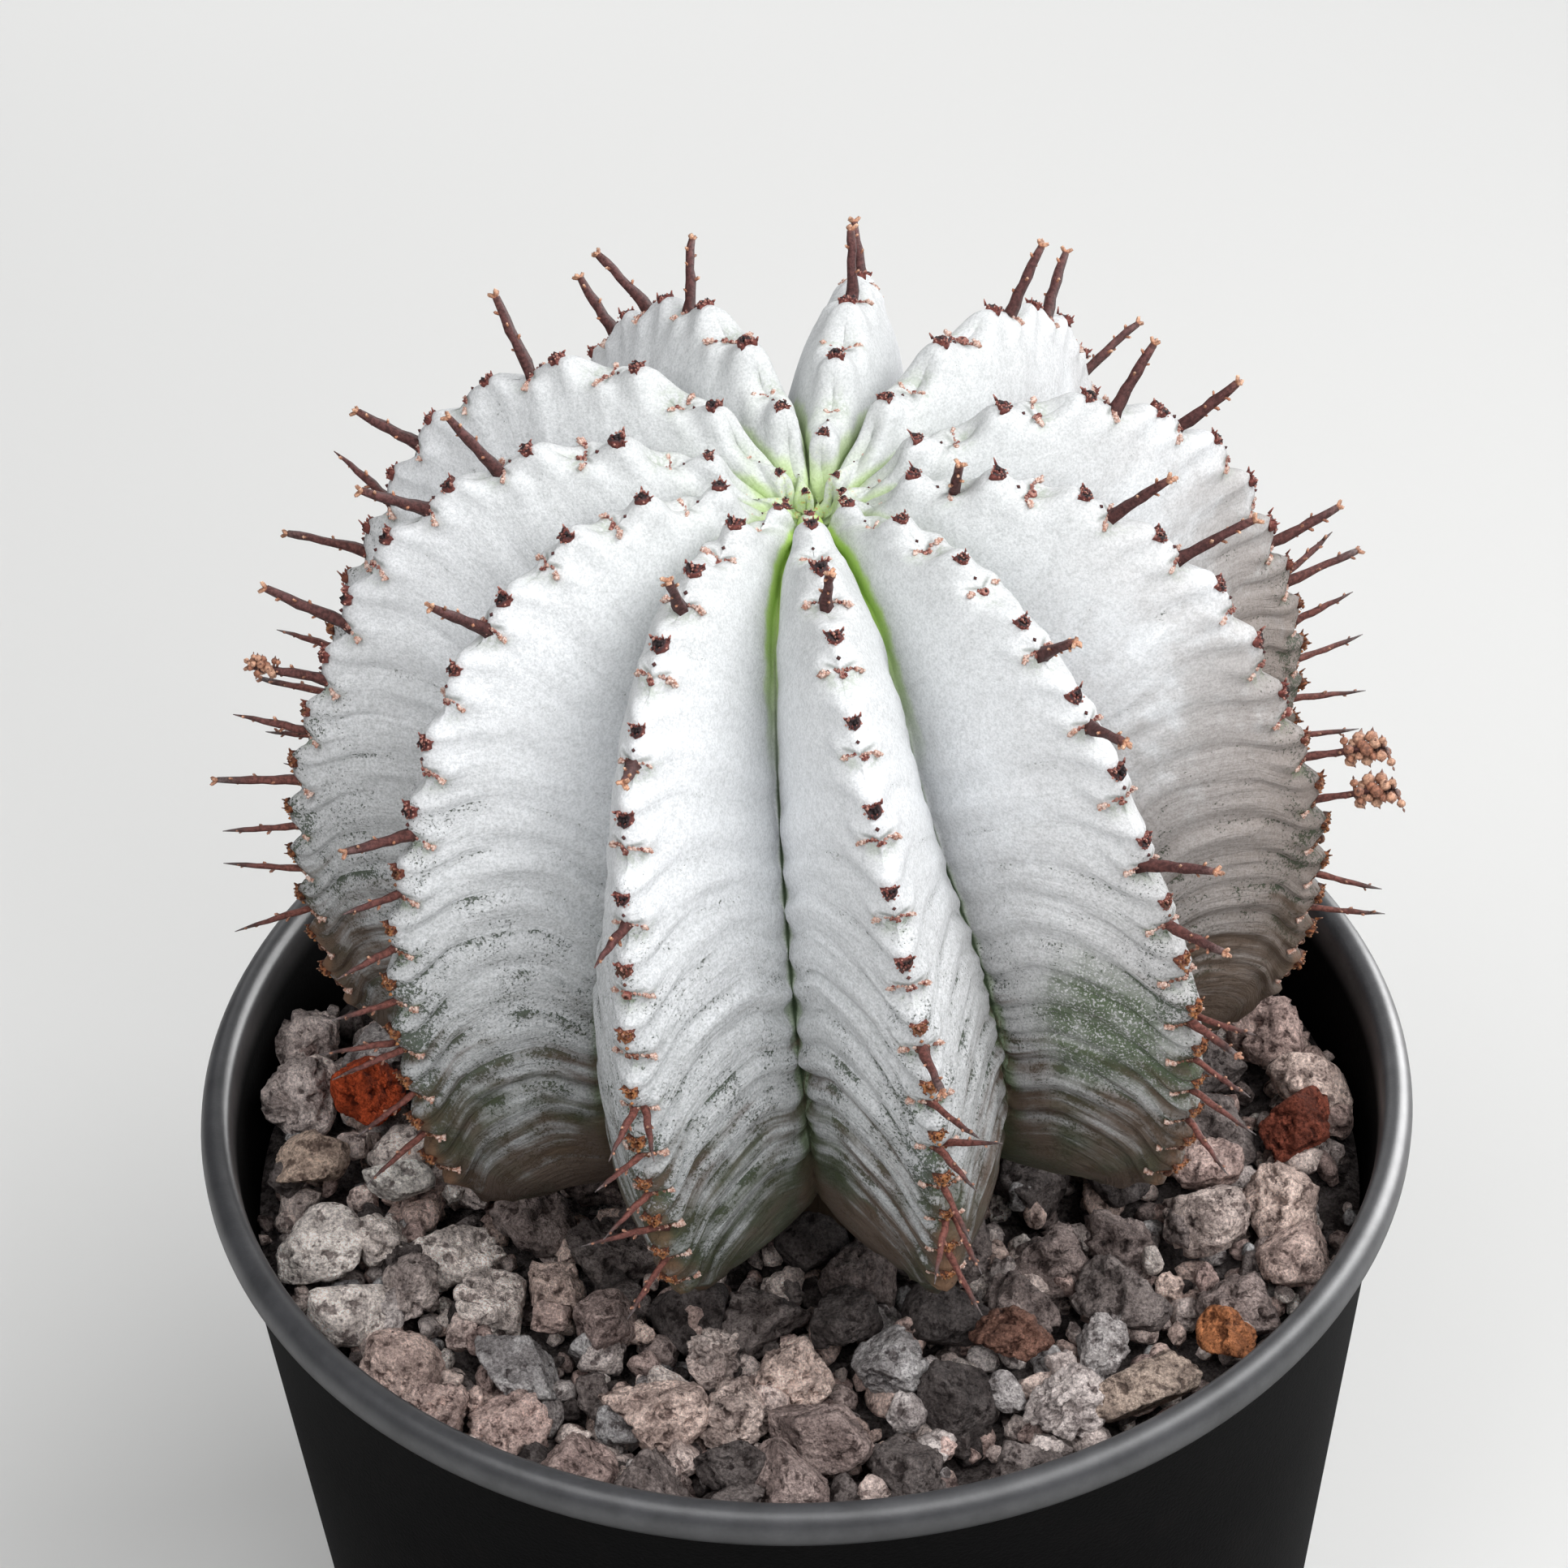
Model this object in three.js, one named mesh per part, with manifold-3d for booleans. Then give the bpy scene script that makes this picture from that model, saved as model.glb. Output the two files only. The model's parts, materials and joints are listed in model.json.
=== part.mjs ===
// A ribbed, white-waxed succulent in a round plastic pot, with a top dressing of loose stones.
// Millimetres, +Z up. The origin is the middle of the pot's foot, on the surface that it stands on.
import * as THREE from 'three';
import { mergeVertices } from 'three/addons/utils/BufferGeometryUtils.js';
import Module from 'manifold-3d';

const wasm = await Module();
wasm.setup();

// Pot
const POT_HEIGHT = 120;
const RIM_RADIUS = 75;
const MOUTH_RADIUS = 71.2;
const LIP_DEPTH = 5;
const WALL = 1.5;
const WALL_SLOPE = 0.105; // radius lost for each millimetre down
const FLOOR = 2.2;
const FOOT_RECESS = 2.8;
const FOOT_WIDTH = 5;
const DRAIN_RADIUS = 4.5;
const DRAIN_RING = 38;
const DRAINS = 6;
const DRAIN_STEPS = 12;
const DRILL_LENGTH = 10;
const FOOT_BEVEL = 0.8;
const ROUND_STEPS = 56;
// Outside of the lip and edge of the mouth, from below: offsets from the rim's or mouth's radius
// and from the pot's height
const LIP = [[-0.7, 0.2 - LIP_DEPTH], [0, 1.6 - LIP_DEPTH], [-0.3, -1.2], [-1.5, -0.1], [-2.4, 0]];
const MOUTH = [[0.3, -0.7], [0, -2]];

// Fill and top dressing, heights above the pot's foot
const CLEARANCE = 0.3;
const MIX_TOP = POT_HEIGHT - 19;
const BED_TOP = POT_HEIGHT - 10.5;
const STONE_TOP = POT_HEIGHT - 5.5;

// Plant: its axis, and where it stands
const PLANT_X = 3.1;
const PLANT_Y = -0.7;
const ROOT_RADIUS = 13;
const ROOT_DEPTH = 62;
const ROOT_STEPS = 16;
// The root from its tip up: share of its radius, height over its lowest point
const ROOT_TAPER = [[0.45, 2], [0.85, 14]];
const ROOT_SHOULDER = 16; // below the rim
const ROOT_TOP = 7; // over the rim, inside the stem
const ROOT_CUT_TOP = 30;
const STEM_BASE = 1; // over the rim

// Outline of a rib's crest and of the groove beside it: distance from the axis, height over the rim
const CREST = [
  [0, 84], [9, 92.5], [20, 96], [31, 95.5], [41.5, 90], [50, 81], [56, 67], [59.5, 56.5],
  [61, 45.5], [60.3, 34], [58, 22.5], [53, 14.5], [44, 10.5], [34, 8.5], [25, 5.5], [17, 1],
];
const GROOVE = [
  [0, 84], [6, 87.5], [13, 88], [20, 85], [25.5, 76.5], [30.5, 66], [36, 57.5], [40, 51],
  [42.5, 44], [43.6, 36], [43.3, 27], [41.5, 19.5], [36.5, 15.5], [29.5, 13], [22, 9.5], [15.5, 4],
];

// Ribs in turn: the way each faces (degrees, 0 is -Y), how far it leans as it goes down (degrees),
// its reach against the common outline, how much lower than the outline its foot hangs (mm, none if
// not given), where its first leaf scar sits along the crest (mm from the crown), and the scars that
// carry a spine. Heads are the spines that end in a dry flower head.
// Leaning spines have their own lean from the common aim, sideways and up; pairs are second spines of
// a scar, with their lean from the first one.
const RIBS = [
  { faces: -152, leans: 26, reach: 0.98, first: 5, spines: [3, 4, 5, 7, 8, 10, 11, 12, 13] },
  { faces: -119, leans: 28, reach: 1.03, first: 7.9, spines: [3, 5, 6, 7, 9, 10, 11, 12] },
  { faces: -90, leans: 11, reach: 1.01, first: 5.4, spines: [3, 4, 6, 7, 8, 9, 10, 11, 12], heads: [7] },
  {
    faces: -59, leans: 11, reach: 0.965, hangs: 4, first: 6, spines: [4, 7, 8, 9, 10, 11, 12, 13],
    pairs: { 11: [-0.4, 0] },
  },
  {
    faces: -25, leans: 17, reach: 1, first: 10.7, spines: [2, 4, 6, 9, 10, 11, 12, 13],
    leaning: { 9: [0.05, 0], 10: [-0.4, 0], 11: [-0.35, 0.05], 12: [-1.1, 0.35], 13: [-0.2, 0] },
    pairs: { 9: [0.5, 0] },
  },
  {
    faces: 6.5, leans: 16, reach: 1, first: 7.7, spines: [2, 8, 9, 10, 11, 12, 13],
    leaning: { 9: [0.45, 0.05], 10: [0.35, 0], 11: [0.15, -0.1], 12: [-0.45, 0], 13: [0.2, -0.1] },
    pairs: { 10: [0.75, 0.75], 12: [0.55, 0] },
  },
  {
    faces: 38.5, leans: 11, reach: 1, hangs: -3.5, first: 11.9, spines: [3, 4, 6, 7, 9, 10, 11, 12],
    pairs: { 9: [0.35, 0] },
  },
  { faces: 75, leans: 16, reach: 0.96, hangs: -1.5, first: 7.4, spines: [1, 3, 4, 8, 9, 11, 12], heads: [8, 9] },
  {
    faces: 107, leans: 14, reach: 1.015, first: 6.5, spines: [3, 4, 7, 8, 9, 10, 11, 12],
    pairs: { 8: [0.4, 0] },
  },
  { faces: 142, leans: 11, reach: 1.03, first: 7.3, spines: [3, 4, 6, 8, 9, 10, 11, 12] },
  { faces: 171, leans: 8, reach: 1, first: 1.5, spines: [3, 5, 6, 8, 9, 10, 11, 12, 13] },
];
// A rib's lean at a length: it starts and ends at these lengths, and the share of the whole lean
// grows with the mm between as a parabola
const LEAN_FROM = 12.4;
const LEAN_RUN = 137;
const LEAN_SHARE = [-0.5, 0.0129, -0.000047];

// Leaf scars: the gaps between them shrink from the crown down to the least gap
const SCARS = 15;
const LEAST_GAP = 5.5;
const WIDER_BY = 4.65;
const GAP_TURN = 72;
const GAP_SPREAD = 15.5;

// Places in the gap after a scar, as shares of it, and heights off the crest's outline
const BAR_AT = 0.4; // where a spine stands
const DIP_AT = 0.6;
const NOSE_AT = 0.93;
const NOSE_HEIGHT = 0.85;
const DIP_DEPTH = 1.15;
const RELIEF_GROWS = [0.5, 6]; // lengths between which it sets in
const CROWN_RELIEF = 0.9; // how much stronger noses and dips are at the crown
const CROWN_FADES = [9, 36];
const FLANK_FADE = 0.45; // share of the relief lost on the upper half of the flank
const FLANK_FADES = [0, 0.5];
const KEEL_HEIGHT = 0.7;
const KEEL_WIDTH = 0.16;
const KEEL_GROWS = [6, 20];

// How a furrow climbs from the crest over the flank: heights in mm, the shares of the flank where it
// leaves the crest, tops out and falls back, and the lengths between which each part sets in or ends
const FURROW_RISE = 10.5;
const RISE_GROWS = [38, 98];
const FURROW_LEAVES = [0, 0.3];
const FURROW_TOP = 0.72;
const FALL_BACK = 0.65;
const FALLS_BACK = [0.8, 1];
const SHOULDER_RISE = 1.5;
const SHOULDER_WIDTH = 0.6;
const SHOULDER_GROWS = [25, 45];
const SHOULDER_FADES = [60, 80];
const CROWN_SAG = 5;
const SAG_GROWS = [8, 30];
const SAG_FADES = [35, 62];
const END_FADES = [0, 30]; // mm from the skin's end
const HANG_GROWS = [85, 122];
const HANG_FADES = [138, 162];

// Hollow of the flank: power of the fall from crest to groove at the crown, and the loss lower down
const HOLLOW_POWER = 1.9;
const HOLLOW_LOSS = 0.7;
const HOLLOW_FADES = [25, 75];
const LEAST_LENGTH = 0.4; // from the crown's middle to the first skin

// Rows and columns of the skin
const OPENING_AFTER = 4; // mm after the first scar that the opening rows are shares of
const OPENING_ROWS = [[0.33, 0], [0.68, 0.3]]; // share, height
const UNDERSIDE_ROWS = [130, 138, 147, 157, 166]; // mm along the crest from the crown
const SKIN_END = 166;
const FLANK_STEPS = [-0.74, -0.46, -0.17, 0, 0.17, 0.46, 0.74]; // share of the way to the groove
const OUTLINE_PARTS = 60; // steps in which each stretch of the crest's outline is measured

const SPINE_LENGTH = 9;
const SPINE_RADIUS = 0.95;
const SPINE_ROOT = 2.6; // length sunk in the rib
const SPINE_TAPER = 0.55;
const SPINE_POINT = 1; // length of the pointed end
const SPINE_SIDES = 4;
const SPINE_ALONG = 0.8; // how far a spine follows the way out of the crest
const SPINE_AWAY = 0.3; // how far it leans away from the axis
const SPINE_VARIES = { side: [-0.35, 0.7], lift: [-0.1, 0.3], length: [0.88, 0.2] }; // least, span
const HEAD_RADIUS = 2.1;
const HEAD_SINK = 0.5; // of the head's middle under the spine's tip
const SPINE_SEED = 907;

// Stones that stand out by size or colour: place and half sizes, with the axes turned by `turn`
const COLOURED_STONES = {
  red_stone: { x: -55, y: 8, size: [3.8, 5.6, 4.2], turn: 0.3, colour: 0xb8432a },
  dark_red_stone: { x: 61, y: -5, size: [4.2, 5, 4], turn: -0.4, colour: 0x7a3a30 },
  orange_stone: { x: 49.5, y: -41, size: [3.2, 3.8, 3.2], turn: 0.5, colour: 0xb0764c },
  tan_stone: { x: -62, y: -4, size: [4.4, 3.6, 3.4], turn: 0.2, colour: 0xb39a86 },
  brown_stone: { x: 24, y: -40, size: [4.6, 3, 3.2], turn: -0.1, colour: 0x7d5d55 },
  white_stone: { x: -51, y: -11, size: [4.2, 2.6, 2.8], turn: 0.1, colour: 0xcfcac6 },
  pale_slab_stone: { x: 38, y: -49, size: [6.8, 4.2, 3.4], turn: 0.45, colour: 0xa9988f },
};
const LARGE_STONES = [
  { x: -35, y: -39, size: [6.8, 5.6, 4.6] },
  { x: -3, y: -42.5, size: [6.2, 4.6, 4.2] },
  { x: 9, y: -41.5, size: [5.2, 4.8, 4.4] },
  { x: 29, y: -50, size: [4.6, 4.6, 4.2] },
  { x: 37, y: -31, size: [5.6, 5.6, 4.4] },
  { x: 52, y: -33, size: [4.8, 5, 4.2] },
  { x: -25, y: -34, size: [5.4, 4.2, 4] },
  { x: -12, y: -39, size: [3.4, 3.8, 3.8] },
];
const DRESSING_SEED = 4177;
const DRESSING_TRIES = 3400;
const STONE_RADII = [5.5, 3.7]; // largest and smallest stone of the dressing
const PACKING = 0.85; // nearest two stones may come, as a share of their radii together
const WALL_SHARE = 0.8; // nearest a stone may come to the wall, as a share of its radius
const STRETCH = { least: 0.86, span: 0.3 };
const FLATNESS = 0.85;
const LARGEST_TURN = 3.1;
const SINK = { most: 1.4, span: 2.2 }; // of a stone's top under the stones' common height
const CORNER = { least: 0.86, span: 0.26 }; // how far a stone's corners reach
const SEAT_SINK = 0.8; // share of a coloured stone's half height that lies under the common height
const SEAT_RISE = 0.6;
const SEAT_GAP = CLEARANCE * 1.25;
const COLOURED_SEED = 31;

const MERGE_WITHIN = 1e-4; // mm between corners that are one corner

const paint = {
  pot: { color: 0x1d1c1d, roughness: 0.62, metalness: 0 },
  mix: { color: 0x3a302a, roughness: 0.95, metalness: 0 },
  gravel: { color: 0x837a77, roughness: 0.95, metalness: 0 },
  wax: { color: 0xdfe3e2, roughness: 0.75, metalness: 0 },
};

// Repeatable draws between 0 and 1
function draws(seed) {
  let state = seed;
  return () => {
    state = (state * 16807) % 2147483647;
    return state / 2147483647;
  };
}

function smoothstep(low, high, value) {
  const share = Math.min(Math.max((value - low) / (high - low), 0), 1);
  return share * share * (3 - 2 * share);
}

// Solids and geometries
function solidOf(geometry) {
  const bare = geometry.clone();
  bare.deleteAttribute('normal');
  bare.deleteAttribute('uv');
  const merged = mergeVertices(bare, MERGE_WITHIN);
  return new wasm.Manifold(new wasm.Mesh({
    numProp: 3,
    vertProperties: new Float32Array(merged.attributes.position.array),
    triVerts: new Uint32Array(merged.index.array),
  }));
}

function geometryOf(solid) {
  const mesh = solid.getMesh();
  const geometry = new THREE.BufferGeometry();
  geometry.setAttribute('position', new THREE.BufferAttribute(mesh.vertProperties, 3));
  geometry.setIndex(new THREE.BufferAttribute(mesh.triVerts, 1));
  return geometry;
}

function meshOf(name, geometry, look) {
  geometry.computeVertexNormals();
  const mesh = new THREE.Mesh(geometry, new THREE.MeshStandardMaterial({ ...look, flatShading: true }));
  mesh.name = name;
  return mesh;
}

// A profile of [radius, height] turned about +Z
function turned(profile, steps = ROUND_STEPS) {
  const points = profile.map(([radius, height]) => new THREE.Vector2(radius, height));
  return new THREE.LatheGeometry(points, steps).rotateX(Math.PI / 2);
}

// Pot
function innerRadius(height) {
  return MOUTH_RADIUS - WALL_SLOPE * (POT_HEIGHT - height);
}

function potProfile() {
  const outer = (height) => innerRadius(height) + WALL;
  const under = POT_HEIGHT - LIP_DEPTH;
  const floorTop = FOOT_RECESS + FLOOR;
  return [
    [0, FOOT_RECESS],
    [outer(0) - FOOT_WIDTH - FOOT_BEVEL, FOOT_RECESS],
    [outer(0) - FOOT_WIDTH, 0],
    [outer(0), 0],
    [outer(under), under],
    ...LIP.map(([out, up]) => [RIM_RADIUS + out, POT_HEIGHT + up]),
    ...MOUTH.map(([out, up]) => [MOUTH_RADIUS + out, POT_HEIGHT + up]),
    [innerRadius(floorTop), floorTop],
    [0, floorTop],
  ];
}

function drainHole(x, y) {
  const drill = new THREE.CylinderGeometry(DRAIN_RADIUS, DRAIN_RADIUS, DRILL_LENGTH, DRAIN_STEPS);
  return solidOf(drill.rotateX(Math.PI / 2).translate(x, y, FOOT_RECESS));
}

function pot() {
  let body = solidOf(turned(potProfile())).subtract(drainHole(0, 0));
  for (let hole = 0; hole < DRAINS; hole += 1) {
    const angle = (hole + 0.5) * 2 * Math.PI / DRAINS;
    body = body.subtract(drainHole(DRAIN_RING * Math.cos(angle), DRAIN_RING * Math.sin(angle)));
  }
  return meshOf('pot', geometryOf(body), paint.pot);
}

// Root, and the plain hole that it stands in
function rootProfile(grow) {
  const top = POT_HEIGHT + (grow > 0 ? ROOT_CUT_TOP : ROOT_TOP);
  const low = POT_HEIGHT - ROOT_DEPTH - grow;
  const neck = ROOT_RADIUS + grow;
  return [
    [0, low],
    ...ROOT_TAPER.map(([share, up]) => [neck * share, low + up]),
    [neck, POT_HEIGHT - ROOT_SHOULDER],
    [neck, top],
    [0, top],
  ];
}

function root(grow) {
  return solidOf(turned(rootProfile(grow), ROOT_STEPS).translate(PLANT_X, PLANT_Y, 0));
}

function pottingMix() {
  const floorTop = FOOT_RECESS + FLOOR + CLEARANCE;
  const side = (height) => innerRadius(height) - CLEARANCE;
  const fill = turned([[0, floorTop], [side(floorTop), floorTop], [side(MIX_TOP), MIX_TOP], [0, MIX_TOP]]);
  return meshOf('potting_mix', geometryOf(solidOf(fill).subtract(root(CLEARANCE))), paint.mix);
}

// A rough stone: a twenty-sided body with uneven corners, grown evenly by `grow`
function stone(spot, random, grow = 0) {
  const rough = mergeVertices(bareIcosahedron(), MERGE_WITHIN);
  const place = rough.attributes.position;
  const corner = new THREE.Vector3();
  const [length, width, height] = spot.size;
  for (let index = 0; index < place.count; index += 1) {
    corner.fromBufferAttribute(place, index).multiplyScalar(CORNER.least + CORNER.span * random());
    corner.set(corner.x * (length + grow), corner.y * (width + grow), corner.z * (height + grow));
    place.setXYZ(index, corner.x, corner.y, corner.z);
  }
  return rough.rotateZ(spot.turn).translate(spot.x, spot.y, spot.z);
}

function bareIcosahedron() {
  const shape = new THREE.IcosahedronGeometry(1, 0);
  shape.deleteAttribute('normal');
  shape.deleteAttribute('uv');
  return shape;
}

// Where the stones of the dressing lie: the large ones first, then draws that find room
function dressingSpots(random) {
  const taken = Object.values(COLOURED_STONES).map((each) => ({ ...each, radius: each.size[0] }));
  const spots = LARGE_STONES.map((each) => ({ ...each, radius: (each.size[0] + each.size[1]) / 2 }));
  const edge = innerRadius(BED_TOP);
  for (let attempt = 0; attempt < DRESSING_TRIES; attempt += 1) {
    const share = attempt / DRESSING_TRIES;
    const radius = STONE_RADII[0] + (STONE_RADII[1] - STONE_RADII[0]) * share;
    const reach = Math.sqrt(random()) * (edge - radius * WALL_SHARE);
    const angle = 2 * Math.PI * random();
    const spot = { x: reach * Math.cos(angle), y: reach * Math.sin(angle), radius };
    const apart = (other) => Math.hypot(spot.x - other.x, spot.y - other.y);
    const clear = (other) => apart(other) > PACKING * (radius + other.radius);
    const offStem = Math.hypot(spot.x - PLANT_X, spot.y - PLANT_Y) > ROOT_RADIUS + radius;
    if (offStem && spots.every(clear) && taken.every(clear)) {
      const stretch = STRETCH.least + STRETCH.span * random();
      spot.size = [radius * stretch, radius / stretch, radius * FLATNESS];
      spots.push(spot);
    }
  }
  spots.forEach((spot) => {
    spot.turn = LARGEST_TURN * random();
    spot.z = STONE_TOP + SINK.span * random() - SINK.most - spot.size[2];
  });
  return spots;
}

function gravelBed(cutters) {
  const random = draws(DRESSING_SEED);
  const low = MIX_TOP + CLEARANCE;
  const side = (height) => innerRadius(height) - CLEARANCE;
  const layer = turned([[0, low], [side(low), low], [side(BED_TOP), BED_TOP], [0, BED_TOP]]);
  const bounds = turned([[0, low], [side(low), low], [side(POT_HEIGHT), POT_HEIGHT], [0, POT_HEIGHT]]);
  let bed = solidOf(layer);
  for (const spot of dressingSpots(random)) {
    bed = bed.add(solidOf(stone(spot, random)));
  }
  bed = bed.intersect(solidOf(bounds)).subtract(root(CLEARANCE));
  for (const cutter of cutters) {
    bed = bed.subtract(cutter);
  }
  return meshOf('gravel_bed', geometryOf(bed), paint.gravel);
}

// Each coloured stone lies half sunk in a seat of its own shape
function colouredStones() {
  return Object.entries(COLOURED_STONES).map(([name, each], index) => {
    const spot = { ...each, z: STONE_TOP + SEAT_RISE - each.size[2] * SEAT_SINK };
    const look = { ...paint.gravel, color: each.colour };
    const seed = COLOURED_SEED + index;
    return {
      mesh: meshOf(name, stone(spot, draws(seed)), look),
      seat: solidOf(stone(spot, draws(seed), SEAT_GAP)),
    };
  });
}

// Plant: a smooth curve through the outline's points, and the length along the crest
function along(outline, place) {
  const last = outline.length - 1;
  const at = Math.min(Math.max(place, 0), last);
  const step = Math.min(Math.floor(at), last - 1);
  const t = at - step;
  const before = outline[Math.max(step - 1, 0)];
  const after = outline[Math.min(step + 2, last)];
  return [0, 1].map((axis) => {
    const [p, a, b, q] = [before[axis], outline[step][axis], outline[step + 1][axis], after[axis]];
    const cubic = 3 * a - p - 3 * b + q;
    const square = 2 * p - 5 * a + 4 * b - q;
    return 0.5 * (2 * a + t * (b - p + t * (square + t * cubic)));
  });
}

function measuredCrest() {
  const table = [0];
  let [x, z] = along(CREST, 0);
  for (let index = 1; index <= (CREST.length - 1) * OUTLINE_PARTS; index += 1) {
    const [nextX, nextZ] = along(CREST, index / OUTLINE_PARTS);
    table.push(table[index - 1] + Math.hypot(nextX - x, nextZ - z));
    [x, z] = [nextX, nextZ];
  }
  return table;
}

const crestLengths = measuredCrest();

function placeAt(length) {
  const next = crestLengths.findIndex((each) => each >= length);
  if (next < 0) return CREST.length - 1;
  if (next === 0) return 0;
  const [low, high] = [crestLengths[next - 1], crestLengths[next]];
  return (next - 1 + (length - low) / (high - low)) / OUTLINE_PARTS;
}

// Out of the crest, in the plane of the rib: [away from the axis, up]
function outward(length) {
  const [x0, z0] = along(CREST, placeAt(length - 0.5));
  const [x1, z1] = along(CREST, placeAt(length + 0.5));
  const run = Math.hypot(x1 - x0, z1 - z0);
  return [-(z1 - z0) / run, (x1 - x0) / run];
}

// The way a rib faces at a length along its crest, in radians
function facing(rib, length) {
  const down = Math.min(length - LEAN_FROM, LEAN_RUN);
  const [start, slope, bend] = LEAN_SHARE;
  return THREE.MathUtils.degToRad(rib.faces + rib.leans * (start + down * (slope + bend * down)));
}

// Leaf scars lie closer together as the rib goes down
function scarLength(rib, scar) {
  let length = rib.first;
  for (let index = 0; index < scar; index += 1) {
    length += LEAST_GAP + WIDER_BY / (1 + Math.exp((length - GAP_TURN) / GAP_SPREAD));
  }
  return length;
}

// Length along a rib's crest at a share of the gap after a scar
function lengthAt(rib, scar, share) {
  const start = scarLength(rib, scar);
  return start + share * (scarLength(rib, scar + 1) - start);
}

// Rows down a rib: the crown, a dip and a nose for each scar, then the underside
function rowsOf(rib) {
  const opening = rib.first + OPENING_AFTER;
  const rows = OPENING_ROWS.map(([share, height]) => ({ length: opening * share, height }));
  for (let scar = 0; scar < SCARS; scar += 1) {
    rows.push({ length: lengthAt(rib, scar, DIP_AT), height: -DIP_DEPTH });
    rows.push({ length: lengthAt(rib, scar, NOSE_AT), height: NOSE_HEIGHT });
  }
  UNDERSIDE_ROWS.forEach((length) => rows.push({ length, height: 0 }));
  return rows;
}

// Share of the way down from crest to groove, rounder over the crown and flatter lower down
function hollow(step, length) {
  return step ** (HOLLOW_POWER - HOLLOW_LOSS * smoothstep(...HOLLOW_FADES, length));
}

// How much higher than at the crest a furrow runs across the flank
function furrowRise(step, length) {
  const climb = Math.sin(Math.PI / 2 * Math.min(step / FURROW_TOP, 1)) * smoothstep(...FURROW_LEAVES, step);
  const arch = climb * (1 - FALL_BACK * smoothstep(...FALLS_BACK, step));
  const early = Math.sin(Math.PI * Math.min(step / SHOULDER_WIDTH, 1));
  const shoulders = smoothstep(...SHOULDER_GROWS, length) * (1 - smoothstep(...SHOULDER_FADES, length));
  const sags = smoothstep(...SAG_GROWS, length) * (1 - smoothstep(...SAG_FADES, length));
  const rise = FURROW_RISE * smoothstep(...RISE_GROWS, length) * arch
    + SHOULDER_RISE * shoulders * early - CROWN_SAG * sags * step * step;
  return rise * smoothstep(...END_FADES, SKIN_END - length);
}

// Height of noses, dips and the keel off the outline, fading over the flank
function reliefAt(row, step, length) {
  const fade = (1 - step) * (1 - FLANK_FADE * smoothstep(...FLANK_FADES, step));
  const stronger = 1 + CROWN_RELIEF * (1 - smoothstep(...CROWN_FADES, length));
  const keel = KEEL_HEIGHT * Math.exp(-((step / KEEL_WIDTH) ** 2)) * smoothstep(...KEEL_GROWS, length);
  return row.height * stronger * fade * smoothstep(...RELIEF_GROWS, length) + keel;
}

// How much lower than the outline the foot of a rib is, half way to its neighbour's at the groove
function hangAt(rib, other, step, length) {
  const [own, next] = [rib.hangs ?? 0, other.hangs ?? 0];
  const share = smoothstep(...HANG_GROWS, length) * (1 - smoothstep(...HANG_FADES, length));
  return (own + (next - own) * step / 2) * share;
}

// A point of the skin, `side` from -1 to 1 across the rib at one of its rows
function skinPoint(rib, other, row, otherRow, side) {
  const step = Math.abs(side);
  const shared = (row.length + otherRow.length) / 2;
  const level = row.length + (shared - row.length) * step * step;
  const length = Math.max(level - furrowRise(step, level), LEAST_LENGTH);
  const place = placeAt(length);
  const [crestX, crestZ] = along(CREST, place);
  const [grooveX, grooveZ] = along(GROOVE, place);
  const [outX, outZ] = outward(length);
  const depth = hollow(step, length);
  const lift = reliefAt(row, step, length);
  const reach = rib.reach + (other.reach - rib.reach) * step / 2;
  const radius = (crestX + (grooveX - crestX) * depth) * reach + outX * lift;
  const height = crestZ + (grooveZ - crestZ) * depth + outZ * lift - hangAt(rib, other, step, length);
  const own = facing(rib, length);
  let turn = facing(other, length) - own;
  turn -= 2 * Math.PI * Math.round(turn / (2 * Math.PI));
  const angle = own + turn * step / 2;
  return [PLANT_X + radius * Math.sin(angle), PLANT_Y - radius * Math.cos(angle), POT_HEIGHT + height];
}

// The stem's skin as rings of points, closed at the crown and under the stem
function stemGeometry() {
  const ribRows = RIBS.map(rowsOf);
  const rings = ribRows[0].map((_, level) => RIBS.flatMap((rib, index) => {
    const after = (index + 1) % RIBS.length;
    const before = (index + RIBS.length - 1) % RIBS.length;
    const point = (side) => {
      const other = side < 0 ? before : after;
      return skinPoint(rib, RIBS[other], ribRows[index][level], ribRows[other][level], side);
    };
    return [...FLANK_STEPS, 1].map(point);
  }));
  const around = rings[0].length;
  const points = rings.flat();
  const crown = points.push([PLANT_X, PLANT_Y, POT_HEIGHT + CREST[0][1]]) - 1;
  const base = points.push([PLANT_X, PLANT_Y, POT_HEIGHT + STEM_BASE]) - 1;
  const faces = [];
  for (let spoke = 0; spoke < around; spoke += 1) {
    const next = (spoke + 1) % around;
    faces.push(crown, spoke, next);
    for (let level = 0; level + 1 < rings.length; level += 1) {
      const [a, b] = [level * around + spoke, level * around + next];
      faces.push(a, a + around, b + around, a, b + around, b);
    }
    const lowest = (rings.length - 1) * around;
    faces.push(base, lowest + next, lowest + spoke);
  }
  const geometry = new THREE.BufferGeometry();
  geometry.setAttribute('position', new THREE.Float32BufferAttribute(points.flat(), 3));
  geometry.setIndex(faces);
  return geometry;
}

// A spine: four-sided, tapering to a pointed tip, along +Z from its sunk root
function spineGeometry(length) {
  const profile = [
    [0, -SPINE_ROOT], [SPINE_RADIUS, -SPINE_ROOT], [SPINE_RADIUS * SPINE_TAPER, length - SPINE_POINT],
    [0, length],
  ];
  return turned(profile, SPINE_SIDES);
}

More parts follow.
